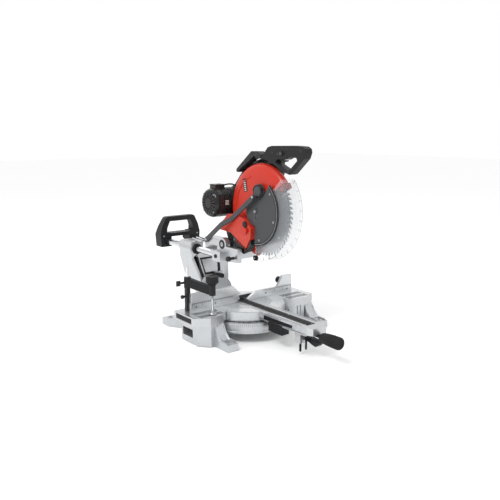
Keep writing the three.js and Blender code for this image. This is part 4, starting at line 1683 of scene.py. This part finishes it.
@dataclass
class Guard:
    """The fixed upper guard: drum, heel, nose, shroud and the head arm."""

    centre: Point2 = (0.0, 440.0)
    open_from: float = 140.0
    open_to: float = 277.0
    drum: tuple[Point2, ...] = (
        (0, -21), (112, -21), (122, -20.6), (132, -19.6), (142, -17.6), (149, -14.6),
        (153.6, -11), (156.6, -6.6), (158, -2.4), (158, 2.4), (156.6, 6.6), (153.6, 11),
        (149, 14.6), (142, 17.6), (132, 19.6), (122, 20.6), (112, 21), (0, 21),
    )
    hollow: tuple[Point2, ...] = (
        (0, -17.5), (112, -17.5), (128, -15.8), (140, -13), (149, -9.6), (153.4, -6),
        (155.4, -2), (155.4, 2), (153.4, 6), (149, 9.6), (140, 13), (128, 15.8),
        (112, 17.5), (0, 17.5),
    )
    heel: tuple[Point2, ...] = (
        (96, 424), (44, 408), (9, 382), (13, 348), (36, 311), (126, 355), (186, 357),
        (190, 376), (140, 418),
    )
    shroud: tuple[Point2, ...] = (
        (120, 349), (108, 318), (84, 300), (54, 287), (26, 300), (12, 326), (14, 341), (36, 307.5),
    )
    spindle_lock: Point2 = (34.0, 372.0)
    star_knob: Point2 = (40.0, 392.5)

    def build(self, shop: Workshop) -> None:
        """Makes and dresses the guard.

        Args:
            shop: the workshop.
        """
        self._drum(shop)
        self._nose(shop)
        self._shroud(shop)
        shop.carry("head_arm", "head", GLOSS_BLACK, 1.6, 3)
        button = rod(Axis.X, 9.0, (-51.0, -43.3), self.spindle_lock, 1.2, 48)
        shop.fit("spindle_lock_skin", button, "spindle_stop", RED, ("spindle_lock",))

    def _drum(self, shop: Workshop) -> None:
        """Makes the red drum with its heel."""
        skin = turned(Axis.X, self.drum, self.centre, 160)
        skin.cut(turned(Axis.X, self.hollow, self.centre, 160))
        skin.join(prism(Axis.X, self.heel, -43.0, -19.0))
        fan = [self.centre, *arc(270.0, self.open_from, self.open_to, 6)]
        skin.cut(prism(Axis.X, fan, -60.0, 60.0))
        skin.cut(bore(Axis.X, 52.0, (-60.0, -10.0), self.centre, 72))
        skin.cut(bore(Axis.X, 30.3, (10.0, 60.0), self.centre, 72))
        skin.cut(bore(Axis.X, 9.5, (-50.0, -37.0), self.spindle_lock, 36))
        lip = turned(
            Axis.X,
            [(118, -20.2), (121, -20.2), (121, -22.6), (118, -22.6)],
            self.centre,
            160,
        )
        lip.cut(prism(Axis.X, [self.centre, *arc(270.0, 70, 340, 8)], -60.0, 60.0))
        skin.join(lip)
        shop.fit("upper_guard_skin", skin.soften(1.1, 3), "head", RED, ("upper_guard",), 30.0)
        self._guard_details(shop)

    def _guard_details(self, shop: Workshop) -> None:
        """Adds the plate and its lines on the drum."""
        plate = block((-21.9, -20.7), (60, 78), (500, 544)).moved(
            Matrix.Translation((0, 69, 524)) @ Matrix.Rotation(math.radians(-12), 4, "X")
            @ Matrix.Translation((0, -69, -524))
        )
        shop.fit("drum_plate", plate.soften(0.4), "head", BLACK)
        lines = block((-22.2, -21.8), (64, 74), (535, 538))
        lines = shop.repeats.by_step(lines, 6, shop.paint(MARKING_AND_SHADE), shift=(0.0, 0.0, -6.4))
        lines.moved(
            Matrix.Translation((0, 69, 524)) @ Matrix.Rotation(math.radians(-12), 4, "X")
            @ Matrix.Translation((0, -69, -524))
        )
        shop.fit("drum_plate_lines", lines, "head", LABEL)

    def _nose(self, shop: Workshop) -> None:
        """Makes the translucent nose of the drum."""
        outer = prism(Axis.X, [*arc(158, 140.3, 147, 8), *arc(126, 147, 140.3, 8)], -13.0, 13.0)
        inner = prism(Axis.X, [*arc(155.4, 139, 149, 8), *arc(118, 149, 139, 8)], -9.0, 9.0)
        shop.fit(
            "guard_visor_skin", outer.cut(inner).soften(0.6), "head", DEEP_RED, ("guard_visor",)
        )

    def _shroud(self, shop: Workshop) -> None:
        """Makes the black shroud with its red cooling ribs and star knob."""
        shape = prism(Axis.X, self.shroud, -40.0, -21.3)
        ribs: list[Solid] = []
        for step in range(5):
            y = 44.0 + step * 12.5
            z = 304.0 + step * 4.4
            slot = [(y, z), (y + 5.5, z + 2.2), (y + 1.0, z + 16.0), (y - 4.5, z + 13.8)]
            shape.cut(prism(Axis.X, slot, -42.0, -36.5))
            ribs.append(prism(Axis.X, [(a - 1.0 if k in (0, 3) else a - 2.6, b)
                                       for k, (a, b) in enumerate(slot)], -40.6, -36.6))
        shop.fit("arm_shroud_skin", shape.soften(1.2, 3), "head", GLOSS_BLACK, ("arm_shroud",))
        shop.fit("shroud_ribs", ribs[0].join(*ribs[1:]), "head", DEEP_RED)
        knob = turned(
            Axis.X,
            [(0, -48), (8.0, -48), (10.5, -47), (11.5, -45), (11.5, -42.6), (6, -42.3), (0, -42.3)],
            self.star_knob, 48,
        )
        y, z = self.star_knob
        notch = bore(Axis.X, 3.2, (-50, -41), (y + 12.6, z), 16)
        notches = shop.repeats.by_step(
            notch, 6, shop.paint(BLACK), centre=(0.0, y, z), axis=(1.0, 0.0, 0.0), turn=60.0
        )
        shop.fit("star_knob", knob.cut(notches).soften(0.6, 2, 40), "head", BLACK)


@dataclass
class Motor:
    """The motor: ribbed housing, end cap, terminal box, lead and rotor."""

    centre: Point2 = (214.0, 452.0)
    radius: float = 52.0
    left: float = -58.0
    right: float = 32.7

    def build(self, shop: Workshop) -> None:
        """Makes and dresses the motor.

        Args:
            shop: the workshop.
        """
        self._housing(shop)
        self._cap(shop)
        self._rotor(shop)
        lead = smooth_line(
            [(-12, 214, 509), (-2, 210, 514), (12, 196, 516), (22, 184, 512), (31, 180, 508)], 8
        )
        shop.fit("motor_lead_skin", wire(lead, 2.6, 16), "head", RUBBER, ("motor_lead",), 60.0)

    def _housing(self, shop: Workshop) -> None:
        """Makes the housing with its cooling fins."""
        r = self.radius
        profile: list[Point2] = [(r - 6, self.right), (r, self.right)]
        x = self.right - 8.0
        while x > self.left + 12.0:
            profile += [(r, x + 2.2), (r - 2.6, x + 1.6), (r - 2.6, x - 1.6), (r, x - 2.2)]
            x -= 9.0
        profile += [(r, self.left), (r - 6, self.left)]
        shape = turned(Axis.X, profile, self.centre, 128)
        end = self.right
        face = [(9, end - 6), (r - 5.5, end - 6), (r - 5.5, end), (9, end)]
        wall = turned(Axis.X, face, self.centre, 128)
        shape.join(wall)
        box = block((-56, -14), (198, 232), (496, 516)).soften(2.4, 3)
        shape.join(box)
        shape.cut(bore(Axis.X, r - 6, (-57, 26.7), self.centre, 96))
        piece = shape.soften(0.5, 2)
        shop.fit("motor_housing_skin", piece, "head", GLOSS_BLACK, ("motor_housing",))
        lid = block((-57.0, -13.0), (197, 233), (514.6, 517.0)).soften(1.0)
        shop.fit("terminal_lid", lid, "head", BLACK)
        heads = [(x, y, 516.9) for x in (-52.0, -18.0) for y in (201.0, 229.0)]
        shop.screws("terminal_screws", heads, UPWARDS, "head", 2.2)
        gland = turned(
            Axis.X,
            [(2.9, -15), (6.0, -15), (6.0, -10), (4.4, -8.6), (2.9, -7.2)],
            (212.5, 509.5),
            24,
        )
        shop.fit("lead_gland", gland, "head", BLACK)
        plate = prism(Axis.X, arc(self.radius + 0.35, 164, 190, 16, self.centre)
                      + arc(self.radius - 0.6, 190, 164, 16, self.centre), -40.0, -18.0)
        shop.fit("rating_plate", plate, "head", MARKING_AND_SHADE)
        lines = prism(Axis.X, arc(self.radius + 0.6, 168, 171, 3, self.centre)
                      + arc(self.radius + 0.2, 171, 168, 3, self.centre), -37.0, -22.0)
        y, z = self.centre
        lines = shop.repeats.by_step(lines, 4, shop.paint(LABEL), centre=(0.0, y, z),
                                     axis=(1.0, 0.0, 0.0), turn=5.0)
        shop.fit("rating_plate_lines", lines, "head", LABEL)

    def _cap(self, shop: Workshop) -> None:
        """Makes the domed end cap with its vent slots."""
        skin = [(0, -76), (30, -76), (38, -75.4), (43.5, -73), (47.4, -69.5), (50, -64.5),
                (51, -58.3), (46, -58.3), (45.4, -64.6), (42, -69), (36, -71), (0, -71)]
        cap = turned(Axis.X, skin, self.centre, 96)
        y, z = self.centre
        slot = block((-80, -60), (y + 18, y + 41), (z - 1.7, z + 1.7))
        slots = shop.repeats.by_step(
            slot, 18, shop.paint(BLACK), centre=(0.0, y, z), axis=(1.0, 0.0, 0.0), turn=20.0
        )
        cap.cut(slots)
        shop.fit("motor_end_cap_skin", cap.soften(0.6), "head", GLOSS_BLACK, ("motor_end_cap",))
        hub = turned(Axis.X, [(0, -76.8), (9, -76.8), (11, -75.8), (11, -75.0), (0, -75.0)],
                     self.centre, 48)
        hub.moved(Matrix.Translation((0.9, 0, 0)))
        shop.fit("cap_hub", hub, "head", GLOSS_BLACK)
        spots = [(-73.6, *polar(43.0, a, self.centre)) for a in (45, 135, 225, 315)]
        shop.screws("cap_screws", spots, (-1.0, 0.0, 0.0), "head", 2.6)

    def _rotor(self, shop: Workshop) -> None:
        """Makes the rotor with its armature slots and toothed pulley."""
        y, z = self.centre
        core = rod(Axis.X, 32.0, (-50.0, 12.0), self.centre, 2.0, 72)
        slot = block((-52, 14), (y + 29, y + 36), (z - 1.2, z + 1.2))
        slots = shop.repeats.by_step(
            slot, 18, shop.paint(COPPER), centre=(0.0, y, z), axis=(1.0, 0.0, 0.0), turn=20.0
        )
        core.cut(slots)
        core.join(rod(Axis.X, 7.0, (-66.0, 66.0), self.centre, 0.8, 40))
        core.join(toothed_pulley(shop, 20.0, 20, self.centre))
        shop.fit("motor_rotor_skin", core, "rotor", COPPER, ("motor_rotor",))


def toothed_pulley(shop: Workshop, radius: float, teeth: int, centre: Point2) -> Solid:
    """Makes a toothed belt pulley on the belt side.

    Args:
        shop: the workshop.
        radius: its outer radius.
        teeth: how many grooves it has.
        centre: where its axis stands.

    Returns:
        The pulley.
    """
    pulley = rod(Axis.X, radius, (50.0, 64.0), centre, 0.6, teeth * 4)
    groove = bore(Axis.X, 1.3, (48, 66), (centre[0] + radius, centre[1]), 10)
    grooves = shop.repeats.by_step(
        groove,
        teeth,
        shop.paint(GROUND),
        centre=(57.0, *centre),
        axis=(1.0, 0.0, 0.0),
        turn=360.0 / teeth,
    )
    return pulley.cut(grooves)


@dataclass
class BeltDrive:
    """The belt, its cover and the cover's screws."""

    small: Point2 = (214.0, 452.0)
    large: Point2 = (0.0, 440.0)
    cover: tuple[float, float] = (56.0, 36.0)
    cover_face: float = 74.0

    def _capsule(self, big: float, little: float, steps: int) -> list[Point2]:
        """Draws the outline round two circles."""
        dy, dz = self.small[0] - self.large[0], self.small[1] - self.large[1]
        reach = math.hypot(dy, dz)
        slope = math.degrees(math.atan2(dz, dy))
        lean = math.degrees(math.acos((big - little) / reach))
        return [
            *arc(big, slope + lean, slope + 360 - lean, steps, self.large),
            *arc(little, slope - lean, slope + lean, steps, self.small),
        ]

    def build(self, shop: Workshop) -> None:
        """Makes and dresses the belt side.

        Args:
            shop: the workshop.
        """
        big, little = self.cover
        shell = prism(Axis.X, self._capsule(big, little, 48), 45.3, self.cover_face)
        shell.soften(4.0, 4, 60)
        shell.cut(prism(Axis.X, self._capsule(big - 4, little - 4, 48), 40.0, self.cover_face - 4))
        panel = prism(Axis.X, self._capsule(big - 12, little - 12, 48), 73.2, 76.0)
        shell.cut(panel)
        shop.fit("belt_cover_skin", shell.soften(0.6), "head", GLOSS_BLACK, ("belt_cover",))
        belt = prism(Axis.X, self._capsule(44.3, 24.3, 48), 52.0, 62.0)
        belt.cut(prism(Axis.X, self._capsule(40.3, 20.3, 48), 50.0, 64.0))
        shop.fit("drive_belt_skin", belt, "head", RUBBER, ("drive_belt",))
        spots = [(74.0, *polar(50.5, a, self.large)) for a in (130, 190, 250)]
        spots += [(74.0, *polar(30.5, a, self.small)) for a in (40, 320)]
        shop.screws("belt_cover_screws", spots, (1.0, 0.0, 0.0), "head", 2.8)
        rib = block((73.0, 73.9), (40, 43), (430, 462))
        ribs = shop.repeats.by_step(rib, 14, shop.paint(GLOSS_BLACK), shift=(0.0, 9.0, 0.4))
        shop.fit("belt_cover_ribs", ribs, "head", GLOSS_BLACK)


@dataclass
class Blade:
    """The toothed blade with its tips, slots, flanges and bolt."""

    centre: Point2 = (0.0, 440.0)
    radius: float = 152.5
    root: float = 139.5
    thick: float = 2.8
    teeth: int = 60
    slots: int = 5

    def build(self, shop: Workshop) -> None:
        """Makes and dresses the blade and its spindle.

        Args:
            shop: the workshop.
        """
        half = self.thick / 2
        pitch = 360.0 / self.teeth
        outline: list[Point2] = []
        corners = (
            (self.root, 0.0), (self.root + 0.4, -0.12), (self.radius - 5.4, -0.2),
            (self.radius - 1.2, -0.22), (self.radius - 1.9, -0.62), (self.root + 3.0, -0.86),
        )
        for tooth in range(self.teeth):
            start = -tooth * pitch
            for radius, share in corners:
                outline.append(polar(radius, start + share * pitch, self.centre))
        disc = prism(Axis.X, outline, -half * 0.8, half * 0.8)
        disc.cut(bore(Axis.X, 12.8, (-5, 5), self.centre, 48))
        y, z = self.centre
        slit = block((-5, 5), (y + 118.0, y + 150.0), (z - 0.7, z + 0.7))
        slit.join(bore(Axis.X, 2.4, (-5, 5), (y + 117.0, z), 20))
        slits = shop.repeats.by_step(
            slit,
            self.slots,
            shop.paint(BLADE_STEEL),
            centre=(0.0, y, z),
            axis=(1.0, 0.0, 0.0),
            turn=360.0 / self.slots,
        )
        slits.moved(self._spin(7.0))
        disc.cut(slits)
        shop.fit("blade_skin", disc, "arbor", BLADE_STEEL, ("blade",), 30.0)
        tip = prism(
            Axis.X,
            [(y + self.radius - 6.2, z + 0.4), (y + self.radius - 0.1, z + 0.9),
             (y + self.radius - 0.7, z - 1.6), (y + self.radius - 6.2, z - 1.2)],
            -half,
            half,
        )
        tip.moved(self._spin(-0.2 * pitch))
        tips = shop.repeats.by_step(
            tip,
            self.teeth,
            shop.paint(CARBIDE),
            centre=(0.0, y, z),
            axis=(1.0, 0.0, 0.0),
            turn=pitch,
        )
        shop.fit("blade_tips", tips, "arbor", CARBIDE)
        self._spindle(shop)

    def _spin(self, degrees: float) -> Matrix:
        """Gives a turn about the blade's axis."""
        centre = Vector((0.0, *self.centre))
        turn = Matrix.Rotation(math.radians(degrees), 4, "X")
        return Matrix.Translation(centre) @ turn @ Matrix.Translation(-centre)

    def _spindle(self, shop: Workshop) -> None:
        """Makes the spindle with its flanges, pulley and bolt."""
        half = self.thick / 2
        profile = [(0, -3), (12.5, -3), (12.5, half + 0.3), (24, half + 0.3), (24, 6.4),
                   (23.4, 7.0), (12.7, 7.0), (12.7, 51.0), (0, 51.0)]
        shaft = turned(Axis.X, profile, self.centre, 64)
        shaft.join(toothed_pulley(shop, 40.0, 40, self.centre))
        shop.fit("arbor_spindle_skin", shaft, "arbor", GROUND, ("arbor_spindle",))
        face = -half - 0.3
        flange = turned(
            Axis.X,
            [(0, -7.4), (17, -7.4), (19, -6.7), (23.2, -6.7), (24, -6.0), (24, face),
             (12.8, face), (12.8, -3.3), (0, -3.3)],
            self.centre,
            64,
        )
        head = bore(Axis.X, 8.0, (-13.0, -6.0), self.centre, 6).soften(0.7)
        shop.fit("arbor_bolt_skin", flange.join(head), "arbor", GROUND, ("arbor_bolt",))


@dataclass
class LowerGuard:
    """The clear lower guard with its cover plate and roller."""

    centre: Point2 = (0.0, 440.0)
    inner: float = 165.0
    outer: float = 168.0
    half: float = 27.0
    wall: float = 3.0
    start: float = 138.0
    end: float = 272.0
    cover_radius: float = 116.0
    lobe_at: Point2 = (-20.0, 508.0)
    lobe_radius: float = 24.0

    def build(self, shop: Workshop) -> None:
        """Makes and dresses the lower guard.

        Args:
            shop: the workshop.
        """
        self._shell(shop)
        self._cover(shop)
        y, z = polar(157.0, 268.5)
        profile = [(0, -38), (7.8, -38), (9, -36.8), (9, -34.4), (8.2, -33.4), (9, -32.4),
                   (9, -28.4), (8, -27.3), (0, -27.3)]
        roller = turned(Axis.X, profile, (y, z), 48)
        shop.fit("guard_roller_skin", roller, "roller", RUBBER, ("guard_roller",))
        shop.screws("roller_screw", [(-38.0, y, z)], (-1.0, 0.0, 0.0), "roller", 3.0)

    def _wall(self, low: float, high: float) -> Solid:
        """Makes one side wall with its hub."""
        outline = [*arc(self.outer, self.start, self.end, 72), *arc(48.0, self.end, self.start, 36)]
        wall = prism(Axis.X, outline, low, high)
        wall.join(bore(Axis.X, 50.0, (low, high), self.centre, 96))
        return wall.cut(bore(Axis.X, 34.0, (low - 1, high + 1), self.centre, 72))

    def _shell(self, shop: Workshop) -> None:
        """Makes the clear shell and its moulded ribs."""
        rim = [
            *arc(self.outer, self.start, self.end, 72), *arc(self.inner, self.end, self.start, 72)
        ]
        shell = prism(Axis.X, rim, -self.half, self.half)
        shell.join(self._wall(-self.half, -self.half + self.wall))
        shell.join(self._wall(self.half - self.wall, self.half))
        shop.fit("lower_guard_skin", shell.soften(0.8, 2), "guard", CLEAR, ("lower_guard",))
        y, z = self.centre
        for side, name in SIDES:
            x = sorted((side * (self.half - 0.1), side * (self.half + 0.25)))
            rib = block((x[0], x[1]), (y + 153.5, y + 166.5), (z - 0.7, z + 0.7))
            spin = Matrix.Rotation(math.radians(self.start + 3), 4, "X")
            rib.moved(Matrix.Translation((0, y, z)) @ spin @ Matrix.Translation((0, -y, -z)))
            ribs = shop.repeats.by_step(
                rib,
                12,
                shop.paint(FROSTED),
                centre=(0.0, y, z),
                axis=(1.0, 0.0, 0.0),
                turn=11.5,
            )
            shop.fit(f"lower_guard_ribs_{name}", ribs, "guard", FROSTED)
            band = prism(
                Axis.X,
                [*arc(self.outer - 0.1, self.start + 1, self.end - 1, 60),
                 *arc(self.outer - 1.3, self.end - 1, self.start + 1, 60)],
                x[0], x[1],
            )
            shop.fit(f"lower_guard_band_{name}", band, "guard", FROSTED)

    def _cover(self, shop: Workshop) -> None:
        """Makes the grey cover plate with its rim, lobe and screws."""
        low, high = -31.0, -27.3
        fan = [self.centre, *arc(self.cover_radius, 128, self.end, 72)]
        plate = prism(Axis.X, fan, low, high)
        plate.join(bore(Axis.X, 50.0, (low, high), self.centre, 96))
        plate.join(bore(Axis.X, self.lobe_radius, (low, high), self.lobe_at, 64))
        plate.join(rod(Axis.X, self.lobe_radius - 6, (-42.0, low + 1), self.lobe_at, 3.0, 64))
        plate.cut(bore(Axis.X, 6.0, (low - 1, low + 1.4), (-4.0, 418.0), 32))
        shop.fit("cover_plate_skin", plate.soften(0.9, 3), "guard", DARK, ("cover_plate",))
        for name, edge, width, finish in (
            ("cover_rim", 0.4, 3.6, BLACK),
            ("cover_rim_line", 4.3, 1.5, GROUND),
            ("cover_inner_rim", 6.1, 3.6, BLACK),
        ):
            far = self.cover_radius - edge
            ring = prism(
                Axis.X,
                [*arc(far, 129, self.end - 1, 72), *arc(far - width, self.end - 1, 129, 72)],
                low - 1.4, low + 0.2,
            ).soften(0.4)
            shop.fit(name, ring, "guard", finish)
        spots = [(low, *polar(97.0, a)) for a in (140, 196, 258)]
        shop.screws("cover_screws", spots, (-1.0, 0.0, 0.0), "guard", 4.0)
        boss = rod(Axis.X, 11.0, (low - 3.0, low + 0.2), self.centre, 1.0, 56)
        shop.fit("cover_boss", boss, "guard", DARK)
        shop.screws("cover_boss_screw", [(low - 3.0, *self.centre)], (-1.0, 0.0, 0.0), "guard", 5.0)
        y, z = self.lobe_at
        coil = []
        for i in range(121):
            t = i / 120
            turn = t * 4 * 2 * math.pi
            coil.append((-40.5 + 7.0 * t, y + 20.4 * math.cos(turn), z + 20.4 * math.sin(turn)))
        shop.fit("return_spring", wire(coil, 1.5, 10), "guard", SPRING_STEEL, (), 60.0)
        x = low - 5.0
        arm = smooth_line([(x, y - 22, z + 12), (x, y - 6, z + 6), (x, y + 12, z - 2),
                           (x, y + 24, z - 16), (x, y + 30, z - 36)])
        shop.fit("return_spring_arm", wire(arm, 2.4, 12), "guard", BLACK, (), 60.0)


@dataclass
class Handles:
    """The trigger handle, the carry handle and their buttons."""

    button: Point2 = (-112.0, 632.0)
    plate_face: float = 32.7
    grip: tuple[Point2, ...] = (
        (-41, 651), (-60, 655), (-168, 656.9), (-206, 655), (-219, 648), (-222, 637),
        (-214, 618), (-158, 570), (-147, 567), (-136, 570), (-104, 578), (-70, 597), (-40, 608),
        (-10, 612), (-8, 618),
    )
    eye: tuple[Point2, ...] = (
        (-80, 604), (-88, 613), (-128, 613), (-144, 621), (-178, 620), (-183, 612),
        (-149, 583), (-136, 581),
    )
    foot: tuple[Point2, ...] = ((-60, 602), (-30, 609), (-10, 612), (-10, 620), (-56, 620))

    def build(self, shop: Workshop) -> None:
        """Makes and dresses both handles.

        Args:
            shop: the workshop.
        """
        grip = prism(Axis.X, self.grip, -14.5, 14.5)
        grip.cut(prism(Axis.X, self.eye, -30.0, 30.0)).soften(6.5, 5, 24)
        grip.cut(block((-8.0, 8.0), (-128.0, -94.0), (610.0, 619.5)))
        grip.cut(bore(Axis.X, 6.5, (-20.0, -11.0), self.button, 40))
        grip.join(prism(Axis.X, self.foot, 8.0, self.plate_face).soften(1.0))
        shop.fit("handle_d_skin", grip, "head", BLACK, ("handle_d",), 50.0)
        carry = Solid.from_node("handle_carry").soften(5.0, 4, 40)
        shop.fit("handle_carry_skin", carry, "head", BLACK, ("handle_carry",), 50.0)
        pull = prism(Axis.X, [(-97, 606), (-100, 611.4), (-126, 611.4), (-124, 607), (-110, 604)],
                     -5.0, 5.0).soften(1.2, 3)
        shop.fit("trigger_skin", pull, "trigger_piece", GLOSS_BLACK, ("trigger",))
        button = rod(Axis.X, 6.0, (-22.0, -16.3), self.button, 1.2, 40)
        shop.fit("lock_off_skin", button, "lock_off", DARK, ("lock_off_button",))
        spots = [(-14.5, y, z) for y, z in ((-66, 634), (-92, 630), (-200, 640), (-144, 576))]
        shop.screws("handle_screws", spots, (-1.0, 0.0, 0.0), "head", 3.2, DARK)
        seam = [(-64, 645), (-120, 648), (-206, 647), (-206, 645.8), (-120, 646.8), (-64, 643.8)]
        for side, name in SIDES:
            x = sorted((side * 14.2, side * 14.8))
            shop.fit(f"handle_seam_{name}", prism(Axis.X, seam, x[0], x[1]), "head", GLOSS_BLACK)
        carry_spots = [(-13.0, y, z) for y, z in ((22, 622), (112, 576))]
        shop.screws("carry_screws", carry_spots, (-1.0, 0.0, 0.0), "head", 3.0, DARK)


@dataclass
class Studio:
    """The floor, the lamps and the camera."""

    target: Point3 = (-0.0294, -0.0802, 0.3058)
    camera: Point3 = (-1.2514, -1.6614, 0.6906)
    lens: float = 43.2
    floor_size: float = 30.0

    def build(self) -> None:
        """Sets the stage."""
        self._floor()
        self._lamp("key", (-1.9, -0.6, 2.4), 1.1, 44.0)
        self._lamp("fill", (2.2, -1.4, 1.6), 2.6, 3.0)
        self._lamp("rim", (0.4, 2.4, 2.4), 2.2, 12.0)
        world = bpy.data.worlds.new("studio")
        world.use_nodes = True
        sky = world.node_tree.nodes["Background"]
        sky.inputs["Color"].default_value = (1.0, 1.0, 1.0, 1.0)
        sky.inputs["Strength"].default_value = 1.0
        bpy.context.scene.world = world
        bpy.context.scene.view_settings.view_transform = "Standard"
        lens = bpy.data.cameras.new("camera")
        lens.lens = self.lens
        lens.sensor_width = 36.0
        lens.clip_end = 100.0
        camera = bpy.data.objects.new("camera", lens)
        bpy.context.scene.collection.objects.link(camera)
        camera.location = self.camera
        way = Vector(self.target) - Vector(self.camera)
        camera.rotation_euler = way.to_track_quat("-Z", "Y").to_euler()
        bpy.context.scene.camera = camera

    def _floor(self) -> None:
        """Lays the pale floor."""
        half = self.floor_size / 2
        mesh = bpy.data.meshes.new("floor")
        mesh.from_pydata(
            [(-half, -half, 0), (half, -half, 0), (half, half, 0), (-half, half, 0)],
            [],
            [(0, 1, 2, 3)],
        )
        floor = bpy.data.objects.new("floor", mesh)
        bpy.context.scene.collection.objects.link(floor)
        material = bpy.data.materials.new("pale_floor")
        material.use_nodes = True
        paint = material.node_tree.nodes["Principled BSDF"]
        paint.inputs["Base Color"].default_value = FLOOR_COLOR
        paint.inputs["Roughness"].default_value = FLOOR_ROUGHNESS
        mesh.materials.append(material)

    @staticmethod
    def _lamp(name: str, place: Point3, size: float, power: float) -> None:
        """Hangs a soft lamp that faces the saw."""
        light = bpy.data.lights.new(name, "AREA")
        light.size = size
        light.energy = power
        lamp = bpy.data.objects.new(name, light)
        bpy.context.scene.collection.objects.link(lamp)
        lamp.location = place
        way = Vector(LAMP_TARGET) - Vector(place)
        lamp.rotation_euler = way.to_track_quat("-Z", "Y").to_euler()


def dress_rest(shop: Workshop) -> None:
    """Checks that no CAD node is left plain.

    Args:
        shop: the workshop.
    """
    for node, thing in frame["nodes"].items():
        if not thing.hide_render:
            LOG.warning("plain node carried over: %s", node)
            body = thing["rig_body"]
            shop.carry(node, body, BLACK, 0.6)


def main() -> None:
    """Builds the saw, sub-assembly by sub-assembly, and sets the stage."""
    logging.basicConfig(level=logging.INFO, format="%(name)s %(message)s")
    Studio().build()
    shop = Workshop()
    for part in (
        BaseCasting(),
        Fence(),
        Clamp(),
        TurnTable(),
        Column(),
        Carriage(),
        Guard(),
        Motor(),
        BeltDrive(),
        Blade(),
        LowerGuard(),
        Handles(),
    ):
        known = set(bpy.data.objects)
        part.build(shop)
        for piece in sorted(o.name for o in bpy.data.objects if o not in known):
            LOG.info("%s: %s", type(part).__name__, piece)
    dress_rest(shop)


if __name__ == "__main__":
    main()
